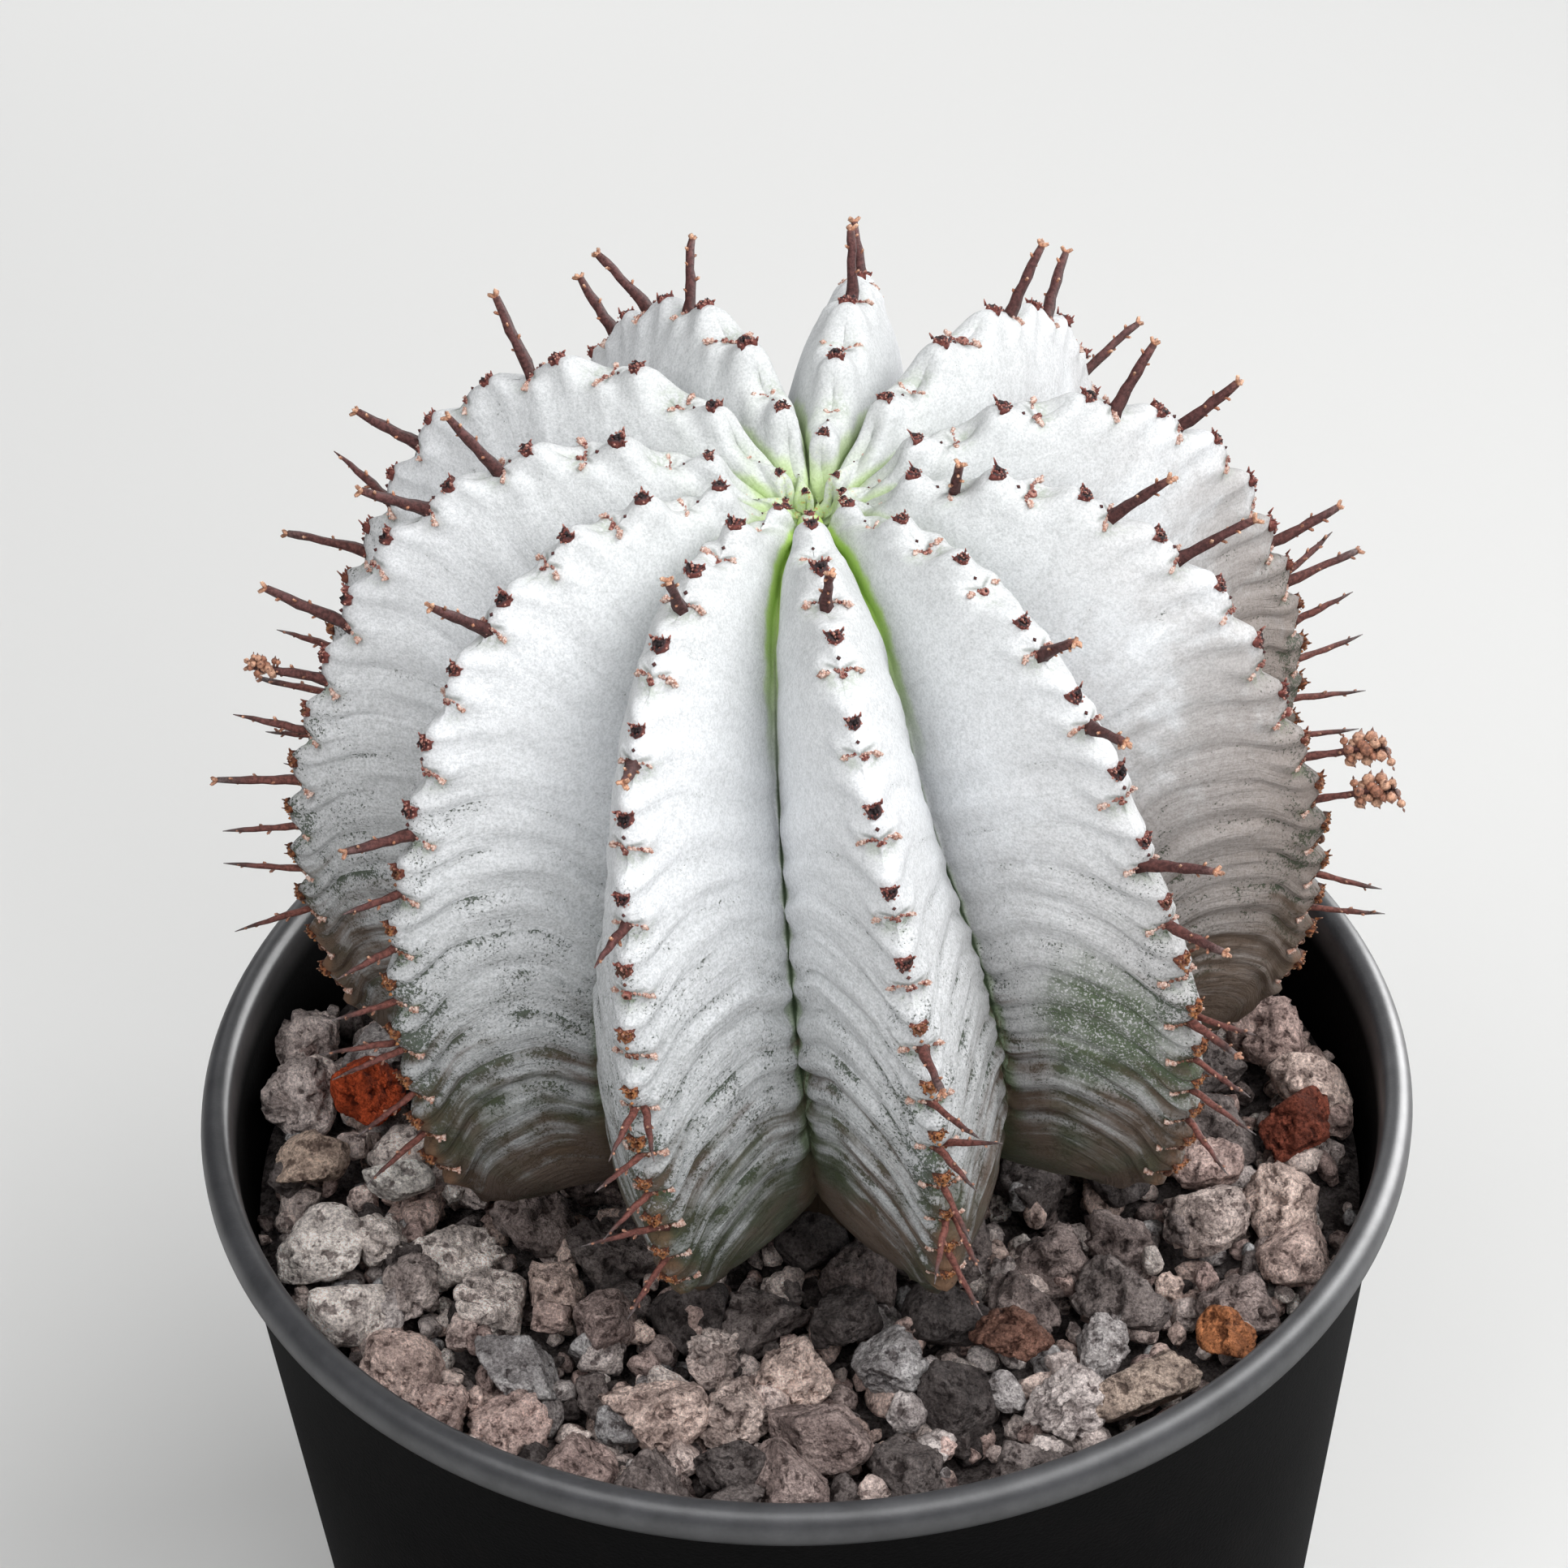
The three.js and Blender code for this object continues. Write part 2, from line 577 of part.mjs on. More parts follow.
// Turns and moves a piece so that its +Z points out of the rib at a scar's bar
function setOnRib(geometry, rib, scar, [side, lift]) {
  const length = lengthAt(rib, scar, BAR_AT);
  const [crestX, crestZ] = along(CREST, placeAt(length));
  const [outX, outZ] = outward(length);
  const angle = facing(rib, length);
  const away = new THREE.Vector3(Math.sin(angle), -Math.cos(angle), 0);
  const up = new THREE.Vector3(0, 0, 1);
  const across = new THREE.Vector3(Math.cos(angle), Math.sin(angle), 0);
  const aim = away.clone().multiplyScalar(outX * SPINE_ALONG + SPINE_AWAY);
  aim.addScaledVector(up, outZ * SPINE_ALONG);
  aim.addScaledVector(across, side).addScaledVector(up, lift).normalize();
  const turn = new THREE.Quaternion().setFromUnitVectors(up, aim);
  const reach = crestX * rib.reach;
  const height = POT_HEIGHT + crestZ - hangAt(rib, rib, 0, length);
  geometry.applyQuaternion(turn);
  return geometry.translate(PLANT_X + away.x * reach, PLANT_Y + away.y * reach, height);
}

function headGeometry(length, random) {
  const spot = { x: 0, y: 0, z: length, size: [HEAD_RADIUS, HEAD_RADIUS, HEAD_RADIUS], turn: 0 };
  return stone(spot, random);
}

function varied(random, [least, span]) {
  return least + span * random();
}

// The spines of one scar: the first, its pair if it has one, and the flower head on it
function spinesAt(rib, scar, random) {
  const drawn = [varied(random, SPINE_VARIES.side), varied(random, SPINE_VARIES.lift)];
  const length = SPINE_LENGTH * varied(random, SPINE_VARIES.length);
  const tilt = rib.leaning?.[scar] ?? drawn;
  const pieces = [setOnRib(spineGeometry(length), rib, scar, tilt)];
  if (rib.pairs?.[scar]) {
    const beside = tilt.map((lean, axis) => lean + rib.pairs[scar][axis]);
    pieces.push(setOnRib(spineGeometry(length), rib, scar, beside));
  }
  if (rib.heads?.includes(scar)) {
    pieces.push(setOnRib(headGeometry(length - HEAD_SINK, random), rib, scar, tilt));
  }
  return pieces.map(solidOf);
}

function plant() {
  const random = draws(SPINE_SEED);
  const spines = RIBS.flatMap((rib) => rib.spines.flatMap((scar) => spinesAt(rib, scar, random)));
  const body = wasm.Manifold.union([solidOf(stemGeometry()), root(0), ...spines]);
  return meshOf('plant', geometryOf(body), paint.wax);
}

const stones = colouredStones();
const model = new THREE.Group();
model.add(pot(), pottingMix(), gravelBed(stones.map((each) => each.seat)));
stones.forEach((each) => model.add(each.mesh));
model.add(plant());

export default model;
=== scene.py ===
"""A white-waxed, ribbed succulent in a round black plastic pot, under a top dressing of porous stones.

Shapes are worked out in millimetres above the pot's foot and turned into metres as they become meshes.
"""

import json
import math
from typing import NamedTuple

import bpy
import numpy as np
from mathutils import Matrix, Vector

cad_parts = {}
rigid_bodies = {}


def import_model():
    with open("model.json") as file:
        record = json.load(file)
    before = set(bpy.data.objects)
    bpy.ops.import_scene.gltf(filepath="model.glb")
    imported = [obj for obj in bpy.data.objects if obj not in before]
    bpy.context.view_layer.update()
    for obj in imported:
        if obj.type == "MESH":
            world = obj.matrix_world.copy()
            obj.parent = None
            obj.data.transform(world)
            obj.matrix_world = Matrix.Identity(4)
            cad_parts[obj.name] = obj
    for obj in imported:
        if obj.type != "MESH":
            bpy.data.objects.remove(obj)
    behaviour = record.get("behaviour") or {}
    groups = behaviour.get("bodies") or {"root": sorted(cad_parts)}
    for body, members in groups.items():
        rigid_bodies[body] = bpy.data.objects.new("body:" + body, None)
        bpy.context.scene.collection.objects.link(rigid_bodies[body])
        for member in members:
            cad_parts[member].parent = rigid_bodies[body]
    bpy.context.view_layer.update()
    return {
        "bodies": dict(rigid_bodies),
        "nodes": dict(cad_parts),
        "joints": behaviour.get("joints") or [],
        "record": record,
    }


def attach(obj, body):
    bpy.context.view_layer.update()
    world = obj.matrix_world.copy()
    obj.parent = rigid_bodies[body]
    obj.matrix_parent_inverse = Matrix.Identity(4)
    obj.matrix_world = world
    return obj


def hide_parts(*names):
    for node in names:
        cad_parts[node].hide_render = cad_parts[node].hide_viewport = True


MM = 0.001

# Pot
POT_HEIGHT = 120.0
RIM_RADIUS = 75.0
MOUTH_RADIUS = 71.2
LIP_DEPTH = 5.0
WALL = 1.5
WALL_SLOPE = 0.105
FLOOR = 2.2
FOOT_RECESS = 2.8
FOOT_WIDTH = 5.0
DRAIN_RADIUS = 4.5
DRAIN_RING = 38.0
DRAINS = 6
POT_STEPS = 192

# Fill and top dressing
CLEARANCE = 0.3
MIX_TOP = POT_HEIGHT - 19
BED_TOP = POT_HEIGHT - 10.5
STONE_TOP = POT_HEIGHT - 5.5

# Plant: its axis and its root
PLANT_X = 3.1
PLANT_Y = -0.7
ROOT_RADIUS = 13.0
ROOT_DEPTH = 62.0

# Outline of a rib's crest and of the groove beside it: distance from the axis, height over the rim
CREST = [
    (0, 84), (9, 92.5), (20, 96), (31, 95.5), (41.5, 90), (50, 81), (56, 67), (59.5, 56.5),
    (61, 45.5), (60.3, 34), (58, 22.5), (53, 14.5), (44, 10.5), (34, 8.5), (25, 5.5), (17, 1),
]
GROOVE = [
    (0, 84), (6, 87.5), (13, 88), (20, 85), (25.5, 76.5), (30.5, 66), (36, 57.5), (40, 51),
    (42.5, 44), (43.6, 36), (43.3, 27), (41.5, 19.5), (36.5, 15.5), (29.5, 13), (22, 9.5), (15.5, 4),
]
CREST_END = 168.0


class Rib(NamedTuple):
    """One rib, with lengths in millimetres and angles in degrees."""

    facing: float  # the way it faces; 0 is -Y
    lean: float  # how far it leans aside as it goes down
    reach: float  # its distance from the axis against the common outline
    first_scar: float  # length along the crest from the crown to its first leaf scar
    stalks: tuple  # the scars that carry a stalk
    stain: float  # how stained its wax is
    hang: float  # how much lower than the outline its foot hangs


RIBS = [
    Rib(-152, 26, 0.98, 5.0, (3, 4, 5, 7, 8, 10, 11, 12, 13), 0.1, 0),
    Rib(-119, 28, 1.03, 7.9, (3, 5, 6, 7, 9, 10, 11, 12), 0.1, 0),
    Rib(-90, 11, 1.01, 5.4, (3, 4, 6, 7, 8, 9, 10, 11, 12), 0.1, 0),
    Rib(-59, 11, 0.965, 6.0, (4, 7, 8, 9, 10, 11, 12, 13), 0.05, 4.0),
    Rib(-25, 17, 1.0, 10.7, (2, 4, 6, 9, 10, 11, 12, 13), 0.0, 0),
    Rib(6.5, 16, 1.0, 7.7, (2, 8, 9, 10, 11, 12, 13), 0.05, 0),
    Rib(38.5, 11, 1.0, 11.9, (3, 4, 6, 7, 9, 10, 11, 12), 0.25, -3.5),
    Rib(75, 16, 0.96, 7.4, (1, 3, 4, 8, 9, 11, 12), 0.8, -1.5),
    Rib(107, 14, 1.015, 6.5, (3, 4, 7, 8, 9, 10, 11, 12), 0.8, 0),
    Rib(142, 11, 1.03, 7.3, (3, 4, 6, 8, 9, 10, 11, 12), 0.3, 0),
    Rib(171, 8, 1.0, 1.5, (3, 5, 6, 8, 9, 10, 11, 12, 13), 0.1, 0),
]
# Stalks that still bear a flower head, as rib and scar, with the head's size
HEADS = {(2, 7): 0.75, (7, 8): 1.15, (7, 9): 1.15}
DRAWS_PER_HEAD = 12
# Second stalks of a scar, and stalks that lean their own way: sideways and up, against the common aim
PAIRED = {
    (4, 9): (0.5, 0), (5, 10): (0.75, 0.75), (5, 12): (0.55, 0), (3, 11): (-0.4, 0), (6, 9): (0.35, 0),
    (8, 8): (0.4, 0),
}
LEANING = {
    (4, 9): (0.05, 0.0), (4, 10): (-0.4, 0.0), (4, 11): (-0.35, 0.05), (4, 12): (-1.1, 0.35),
    (4, 13): (-0.2, 0.0), (5, 9): (0.45, 0.05), (5, 10): (0.35, 0.0), (5, 11): (0.15, -0.1),
    (5, 12): (-0.45, 0.0), (5, 13): (0.2, -0.1),
}
SCARS = 15
SCAR_GAP_LOW = 5.5
SCAR_GAP_MORE = 4.65
SCAR_GAP_TURN = 72.0
SCAR_GAP_SPREAD = 15.5
DOT_AT = 0.22
BAR_AT = 0.4
BAR_REACH = 3.1
KEEL_HEIGHT = 0.7
KEEL_WIDTH = 0.16
UNDERSIDE_FURROW = 6.5
SPINE_LENGTH = 9.0

# Relief of the skin, as the named inputs of its tree
RELIEF = {
    "Nose height": 0.65 * MM,
    "Dip depth": 1.3 * MM,
    "Ledge height": 0.6 * MM,
    "Furrow depth": 0.62 * MM,
    "Wrinkle height": 0.2 * MM,
    "Seam depth": 0.35 * MM,
    "Shelf height": 0.8 * MM,
    "Crown pad height": 1.75 * MM,
}
CREST_WIDTH = 2.7
CROWN_CREST_WIDTH = 2.3
SKIN_VALUES = ("down", "count", "step", "side", "aside", "valley", "stain", "rib")

# Rows of the skin inside the gap after a scar, above the first scar, and below the last one
PHASES = (0, 0.05, 0.11, 0.17, 0.22, 0.3, 0.35, 0.4, 0.48, 0.58, 0.69, 0.79, 0.87, 0.94)
OPENING = (0.1, 0.25, 0.4, 0.55, 0.7, 0.82, 0.92)
UNDERSIDE = 15
FLANK_STEPS = (
    0.035, 0.07, 0.105, 0.14, 0.18, 0.22, 0.27, 0.33, 0.39, 0.46, 0.53, 0.6, 0.68, 0.76, 0.83,
    0.89, 0.94, 0.975,
)

# Stones
STONES = {
    "red_stone": ((-55, 8), (3.8, 5.6, 4.2), 0.3, (0.50, 0.085, 0.030)),
    "dark_red_stone": ((61, -5), (4.2, 5, 4), -0.4, (0.24, 0.070, 0.045)),
    "orange_stone": ((49.5, -41), (3.2, 3.8, 3.2), 0.5, (0.47, 0.19, 0.085)),
    "tan_stone": ((-62, -4), (4.4, 3.6, 3.4), 0.2, (0.60, 0.47, 0.39)),
    "brown_stone": ((24, -40), (4.6, 3, 3.2), -0.1, (0.24, 0.130, 0.100)),
    "white_stone": ((-51, -11), (4.2, 2.6, 2.8), 0.1, (0.88, 0.86, 0.83)),
    "pale_slab_stone": ((38, -49), (6.8, 4.2, 3.4), 0.45, (0.42, 0.34, 0.29)),
}
SMOOTH_STONES = ("tan_stone", "white_stone")
# Large stones of the dressing: place, half sizes and shade
LARGE_STONES = (
    (-35, -39, (6.8, 5.6, 4.6), 0.64), (-3, -42.5, (6.2, 4.6, 4.2), 0.5),
    (9, -41.5, (5.2, 4.8, 4.4), 0.64), (29, -50, (4.6, 4.6, 4.2), 0.7), (37, -31, (5.6, 5.6, 4.4), 0.14),
    (52, -33, (4.8, 5, 4.2), 0.18), (-25, -34, (5.4, 4.2, 4), 0.22), (-12, -39, (3.4, 3.8, 3.8), 0.55),
)
DRESSING_SEED = 4177
DRESSING_TRIES = 3400
STONE_RADII = (5.5, 3.7)  # of the first and the last stone drawn
PACKING = 0.85
ROCK_SHAPES = 12
ROCK_PLANES = 12
ROCK_SHARPNESS = 38.0
FRONT_Y = -34
FINE_STONES = 36  # at most, of those in front
SMALL_STONES = 540
SMALL_RADII = (1.4, 2.8)
SMALL_HEIGHTS = (103.8, 110.3)
GRIT_STONES = 1300
GRIT_RADII = (0.8, 1.9)
GRIT_HEIGHTS = (103.0, 106.8)
LOOSE_TILT = 3.0
FINEST = 5  # how often the ball of the rocks in front and of the coloured stones is divided
FLOOR_DROP = 7.2  # of the layer under the stones, from the top of the bed

# Camera, as the photograph was taken: distance and height angle seen from the middle of the rim
CAMERA_DISTANCE = 694.06
CAMERA_HEIGHT_ANGLE = 42.927
CAMERA_PAN = -0.1018
CAMERA_TILT = 2.940
CAMERA_ROLL = -2.1573
FOCAL_SHARE = 6896.4 / 1932  # focal length as a share of the frame's width
SENSOR = 36.0

# Soft square lamps in metres and watts: place, side and power
LAMPS = {
    "left": ((-0.30, -0.36, 0.75), 0.5, 3.1),
    "right": ((0.50, 0.0, 0.75), 0.5, 4.6),
    "front": ((0.25, -0.45, 0.72), 0.5, 3.5),
    "back": ((-0.10, 0.75, 0.30), 0.5, 1.8),
}
LIP_LAMP = ((0.75, 0.55, 0.45), 0.7, 24)
LAMP_TARGET = Vector((0, 0, 0.16))
WORLD_STRENGTH = 0.075


def draws(seed):
    """Repeatable draws between 0 and 1."""
    state = seed

    def draw():
        nonlocal state
        state = (state * 16807) % 2147483647
        return state / 2147483647

    return draw


def smoothstep(low, high, value):
    share = np.clip((np.asarray(value, float) - low) / (high - low), 0, 1)
    return share * share * (3 - 2 * share)


# Node trees


class Wire:
    """A socket that Python's arithmetic can be used on; each operation adds a node."""

    def __init__(self, graph, socket):
        self.graph = graph
        self.socket = socket

    def _with(self, operation, first, second=None):
        vector = "VECTOR" in (self.socket.type, getattr(getattr(second, "socket", None), "type", ""))
        vector = vector or "VECTOR" == getattr(getattr(first, "socket", None), "type", "")
        kind = "ShaderNodeVectorMath" if vector else "ShaderNodeMath"
        inputs = {0: first} if second is None else {0: first, 1: second}
        return self.graph.node(kind, {"operation": operation}, inputs)

    def __add__(self, other):
        return self._with("ADD", self, other)

    def __radd__(self, other):
        return self._with("ADD", other, self)

    def __sub__(self, other):
        return self._with("SUBTRACT", self, other)

    def __rsub__(self, other):
        return self._with("SUBTRACT", other, self)

    def __mul__(self, other):
        return self._with("MULTIPLY", self, other)

    def __rmul__(self, other):
        return self._with("MULTIPLY", other, self)

    def __truediv__(self, other):
        return self._with("DIVIDE", self, other)

    def __pow__(self, other):
        return self._with("POWER", self, other)


class Graph:
    """Builds nodes in a tree."""

    def __init__(self, tree):
        self.tree = tree

    def node(self, kind, settings=None, inputs=None, output=0):
        made = self.tree.nodes.new(kind)
        for name, value in (settings or {}).items():
            if name == "stops":
                self._set_stops(made.color_ramp, value)
            else:
                setattr(made, name, value)
        for name, value in (inputs or {}).items():
            self.feed(made.inputs[name], value)
        return Wire(self, made.outputs[output])

    def feed(self, socket, value):
        if isinstance(value, Wire):
            self.tree.links.new(value.socket, socket)
        elif socket.type == "VECTOR" and isinstance(value, (int, float)):
            socket.default_value = (value, value, value)
        elif socket.type == "RGBA" and len(value) == 3:
            socket.default_value = (*value, 1.0)
        else:
            socket.default_value = value

    @staticmethod
    def _set_stops(ramp, stops):
        while len(ramp.elements) < len(stops):
            ramp.elements.new(0.5)
        for element, (place, colour) in zip(ramp.elements, stops):
            element.position = place
            element.color = (*colour, 1.0)

    def ramp(self, low, high, value):
        """0 below low, 1 above high, smooth between."""
        inputs = {"Value": value, "From Min": low, "From Max": high}
        return self.node("ShaderNodeMapRange", {"interpolation_type": "SMOOTHSTEP"}, inputs)

    def hump(self, low, middle, high, value):
        return self.ramp(low, middle, value) * (1 - self.ramp(middle, high, value))

    def maths(self, operation, value):
        """A Math node that takes one number."""
        return self.node("ShaderNodeMath", {"operation": operation}, {0: value})

    def moved(self, geometry, way, distance):
        """Geometry with its points moved along their own ways."""
        offset = self.node("ShaderNodeVectorMath", {"operation": "SCALE"}, {0: way, 3: distance})
        return self.node("GeometryNodeSetPosition", None, {"Geometry": geometry, "Offset": offset})

    def mix(self, share, first, second):
        """Colours mixed; a share of 1 is all the second."""
        settings = {"data_type": "RGBA", "clamp_factor": True}
        return self.node("ShaderNodeMix", settings, {0: share, 6: first, 7: second}, 2)

    def tint(self, share, colour, by):
        settings = {"data_type": "RGBA", "blend_type": "MULTIPLY", "clamp_factor": True}
        return self.node("ShaderNodeMix", settings, {0: share, 6: colour, 7: by}, 2)

    def noise(self, where, size, detail=2.0, roughness=0.5):
        """Cloudy values about 0.5, with lumps of the given size in metres."""
        inputs = {"Vector": where, "Scale": 1 / size, "Detail": detail, "Roughness": roughness}
        return self.node("ShaderNodeTexNoise", None, inputs)

    def cells(self, where, size):
        """Distance to the nearest cell's middle, in cells."""
        return self.node("ShaderNodeTexVoronoi", None, {"Vector": where, "Scale": 1 / size})

    def vector(self, x, y, z):
        return self.node("ShaderNodeCombineXYZ", None, {"X": x, "Y": y, "Z": z})


class Paint(Graph):
    """A procedural material."""

    def __init__(self, name):
        self.material = bpy.data.materials.new(name)
        self.material.use_nodes = True
        super().__init__(self.material.node_tree)
        self.shader = self.tree.nodes["Principled BSDF"]

    def place(self):
        return self.node("ShaderNodeTexCoord", output="Object")

    def attribute(self, name):
        return self.node("ShaderNodeAttribute", {"attribute_name": name}, output="Fac")

    def shades(self, stops, place):
        """A colour between the stops."""
        return self.node("ShaderNodeValToRGB", {"stops": stops}, {"Fac": place})

    def bump(self, height, depth, under=None):
        inputs = {"Height": height, "Distance": depth, "Strength": 1.0}
        if under is not None:
            inputs["Normal"] = under
        return self.node("ShaderNodeBump", None, inputs)

    def finish(self, **sockets):
        for name, value in sockets.items():
            self.feed(self.shader.inputs[name.replace("_", " ")], value)
        return self.material


# Meshes


def into_scene(name, data):
    made = bpy.data.objects.new(name, data)
    bpy.context.scene.collection.objects.link(made)
    return made


def into_library(made, library):
    bpy.context.scene.collection.objects.unlink(made)
    library.objects.link(made)


def make_smooth(mesh):
    mesh.polygons.foreach_set("use_smooth", [True] * len(mesh.polygons))


def dress(mesh, material):
    mesh.materials.clear()
    mesh.materials.append(material)


def mesh_object(name, points, faces, values=None, smooth=True):
    """A mesh from points in millimetres; values are named numbers, one for each point."""
    mesh = bpy.data.meshes.new(name)
    mesh.from_pydata((np.asarray(points, float) * MM).tolist(), [], faces)
    for label, numbers in (values or {}).items():
        numbers = np.asarray(numbers, np.float32)
        flat = numbers.ndim == 1
        attribute = mesh.attributes.new(label, "FLOAT" if flat else "FLOAT_VECTOR", "POINT")
        attribute.data.foreach_set("value" if flat else "vector", numbers.ravel())
    mesh.update()
    if smooth and faces:
        make_smooth(mesh)
    return into_scene(name, mesh)


def ring_faces(first, second, around):
    """Faces between two rings of points; each ring is given by the number of its first point."""
    spokes = [(spoke, (spoke + 1) % around) for spoke in range(around)]
    return [(first + a, first + b, second + b, second + a) for a, b in spokes]


def turned_over(faces):
    """Faces seen from their other side, each still from its first corner."""
    return [(face[0], *face[:0:-1]) for face in faces]


def stacked_faces(rings, sides):
    """A stack of rings, closed by one face under the first and by a fan to the point after the last."""
    faces = [tuple(range(sides))[::-1]]
    for ring in range(rings - 1):
        faces += ring_faces(ring * sides, (ring + 1) * sides, sides)
    last, top = (rings - 1) * sides, rings * sides
    return faces + [(last + side, last + (side + 1) % sides, top) for side in range(sides)]


def modifier_tree(name):
    """An empty geometry tree with its input and output nodes."""
    tree = bpy.data.node_groups.new(name, "GeometryNodeTree")
    tree.interface.new_socket("Geometry", in_out="INPUT", socket_type="NodeSocketGeometry")
    tree.interface.new_socket("Geometry", in_out="OUTPUT", socket_type="NodeSocketGeometry")
    return Graph(tree)


def sizes_of(graph, sizes):
    """Adds named number inputs to a tree and returns its input node's wires by name."""
    for name, value in sizes.items():
        kind = "NodeSocketInt" if isinstance(value, int) else "NodeSocketFloat"
        graph.tree.interface.new_socket(name, in_out="INPUT", socket_type=kind)
    start = graph.tree.nodes.new("NodeGroupInput")
    return {socket.name: Wire(graph, socket) for socket in start.outputs if socket.name}


def named(graph, name, kind="FLOAT"):
    return graph.node("GeometryNodeInputNamedAttribute", {"data_type": kind}, {"Name": name})


def close_tree(graph, geometry, material):
    """Ends a tree in real geometry with its material."""
    real = graph.node("GeometryNodeRealizeInstances", None, {"Geometry": geometry})
    dressed = graph.node("GeometryNodeSetMaterial", None, {"Geometry": real, "Material": material})
    end = graph.tree.nodes.new("NodeGroupOutput")
    graph.feed(end.inputs[0], dressed)


def grown(source, graph, sizes, material):
    """Runs a tree on an object and keeps the result as a plain mesh."""
    modifier = source.modifiers.new("grow", "NODES")
    modifier.node_group = graph.tree
    for item in graph.tree.interface.items_tree:
        if item.in_out == "INPUT" and item.name in sizes:
            modifier[item.identifier] = sizes[item.name]
    evaluated = source.evaluated_get(bpy.context.evaluated_depsgraph_get())
    mesh = bpy.data.meshes.new_from_object(evaluated)
    name = source.name
    bpy.data.objects.remove(source)
    dress(mesh, material)
    make_smooth(mesh)
    return into_scene(name, mesh)


# Plant: outlines, and the length along the crest


def along(outline, place):
    """A smooth curve through the outline's points."""
    points = np.array(outline, float)
    last = len(points) - 1
    at = np.clip(np.asarray(place, float), 0, last)
    step = np.minimum(np.floor(at).astype(int), last - 1)
    t = (at - step)[..., None]
    p, a = points[np.maximum(step - 1, 0)], points[step]
    b, q = points[step + 1], points[np.minimum(step + 2, last)]
    return 0.5 * (
        2 * a + (b - p) * t + (2 * p - 5 * a + 4 * b - q) * t**2 + (3 * a - p - 3 * b + q) * t**3
    )


CREST_PLACES = np.linspace(0, len(CREST) - 1, (len(CREST) - 1) * 60 + 1)
CREST_LENGTHS = np.concatenate(
    [[0], np.cumsum(np.linalg.norm(np.diff(along(CREST, CREST_PLACES), axis=0), axis=1))]
)


def place_at(length):
    return np.interp(length, CREST_LENGTHS, CREST_PLACES)


def outward(length):
    """Out of the crest, in the plane of the rib: away from the axis, and up."""
    run = along(CREST, place_at(length + 0.5)) - along(CREST, place_at(length - 0.5))
    size = np.linalg.norm(run, axis=-1)
    return -run[..., 1] / size, run[..., 0] / size


def facing(rib, length):
    """The way a rib faces at a length along its crest, in radians."""
    down = np.minimum(length - 12.4, 137)
    return np.radians(rib.facing + rib.lean * (down * (0.0129 - 0.000047 * down) - 0.5))


def scar_lengths(rib):
    """Where a rib's leaf scars lie along its crest; they are closer together as it goes down."""
    lengths = [rib.first_scar]
    for _ in range(SCARS):
        fall = 1 + math.exp((lengths[-1] - SCAR_GAP_TURN) / SCAR_GAP_SPREAD)
        gap = SCAR_GAP_LOW + SCAR_GAP_MORE / fall
        lengths.append(lengths[-1] + gap)
    return lengths


def rows_of(rib):
    """Lengths along the crest of a rib's rows of skin, and the scars counted down to each row."""
    scars = scar_lengths(rib)
    lengths = [share * scars[0] for share in OPENING]
    counts = [share - 1 for share in OPENING]
    for scar in range(SCARS):
        gap = scars[scar + 1] - scars[scar]
        lengths += [scars[scar] + phase * gap for phase in PHASES]
        counts += [scar + phase for phase in PHASES]
    for row in range(UNDERSIDE):
        length = scars[-1] + (CREST_END - scars[-1]) * row / (UNDERSIDE - 1)
        lengths.append(length)
        counts.append(SCARS + (length - scars[-1]) / UNDERSIDE_FURROW)
    return np.array(lengths), np.array(counts)


def hollow(step, length):
    """Share of the way down from crest to groove, rounder over the crown and flatter lower down."""
    return step ** (1.9 - 0.7 * smoothstep(25, 75, length))


def furrow_rise(step, length):
    """How much higher than at the crest a furrow runs across the flank, in millimetres."""
    climb = np.sin(np.pi / 2 * np.minimum(step / 0.72, 1)) * smoothstep(0, 0.3, step)
    arch = climb * (1 - 0.42 * smoothstep(0.68, 1, step))
    early = np.sin(np.pi * np.minimum(step / 0.6, 1))
    shoulder = 1.5 * smoothstep(25, 45, length) * (1 - smoothstep(60, 80, length)) * early
    sag = 5 * (1 - smoothstep(35, 62, length)) * smoothstep(8, 30, length) * step**2
    return 10.5 * smoothstep(38, 98, length) * arch + shoulder - sag


def toward_groove(own, others, step):
    """A value of a rib at its crest, halfway to its neighbour's in the groove."""
    return own + (others - own) * step / 2


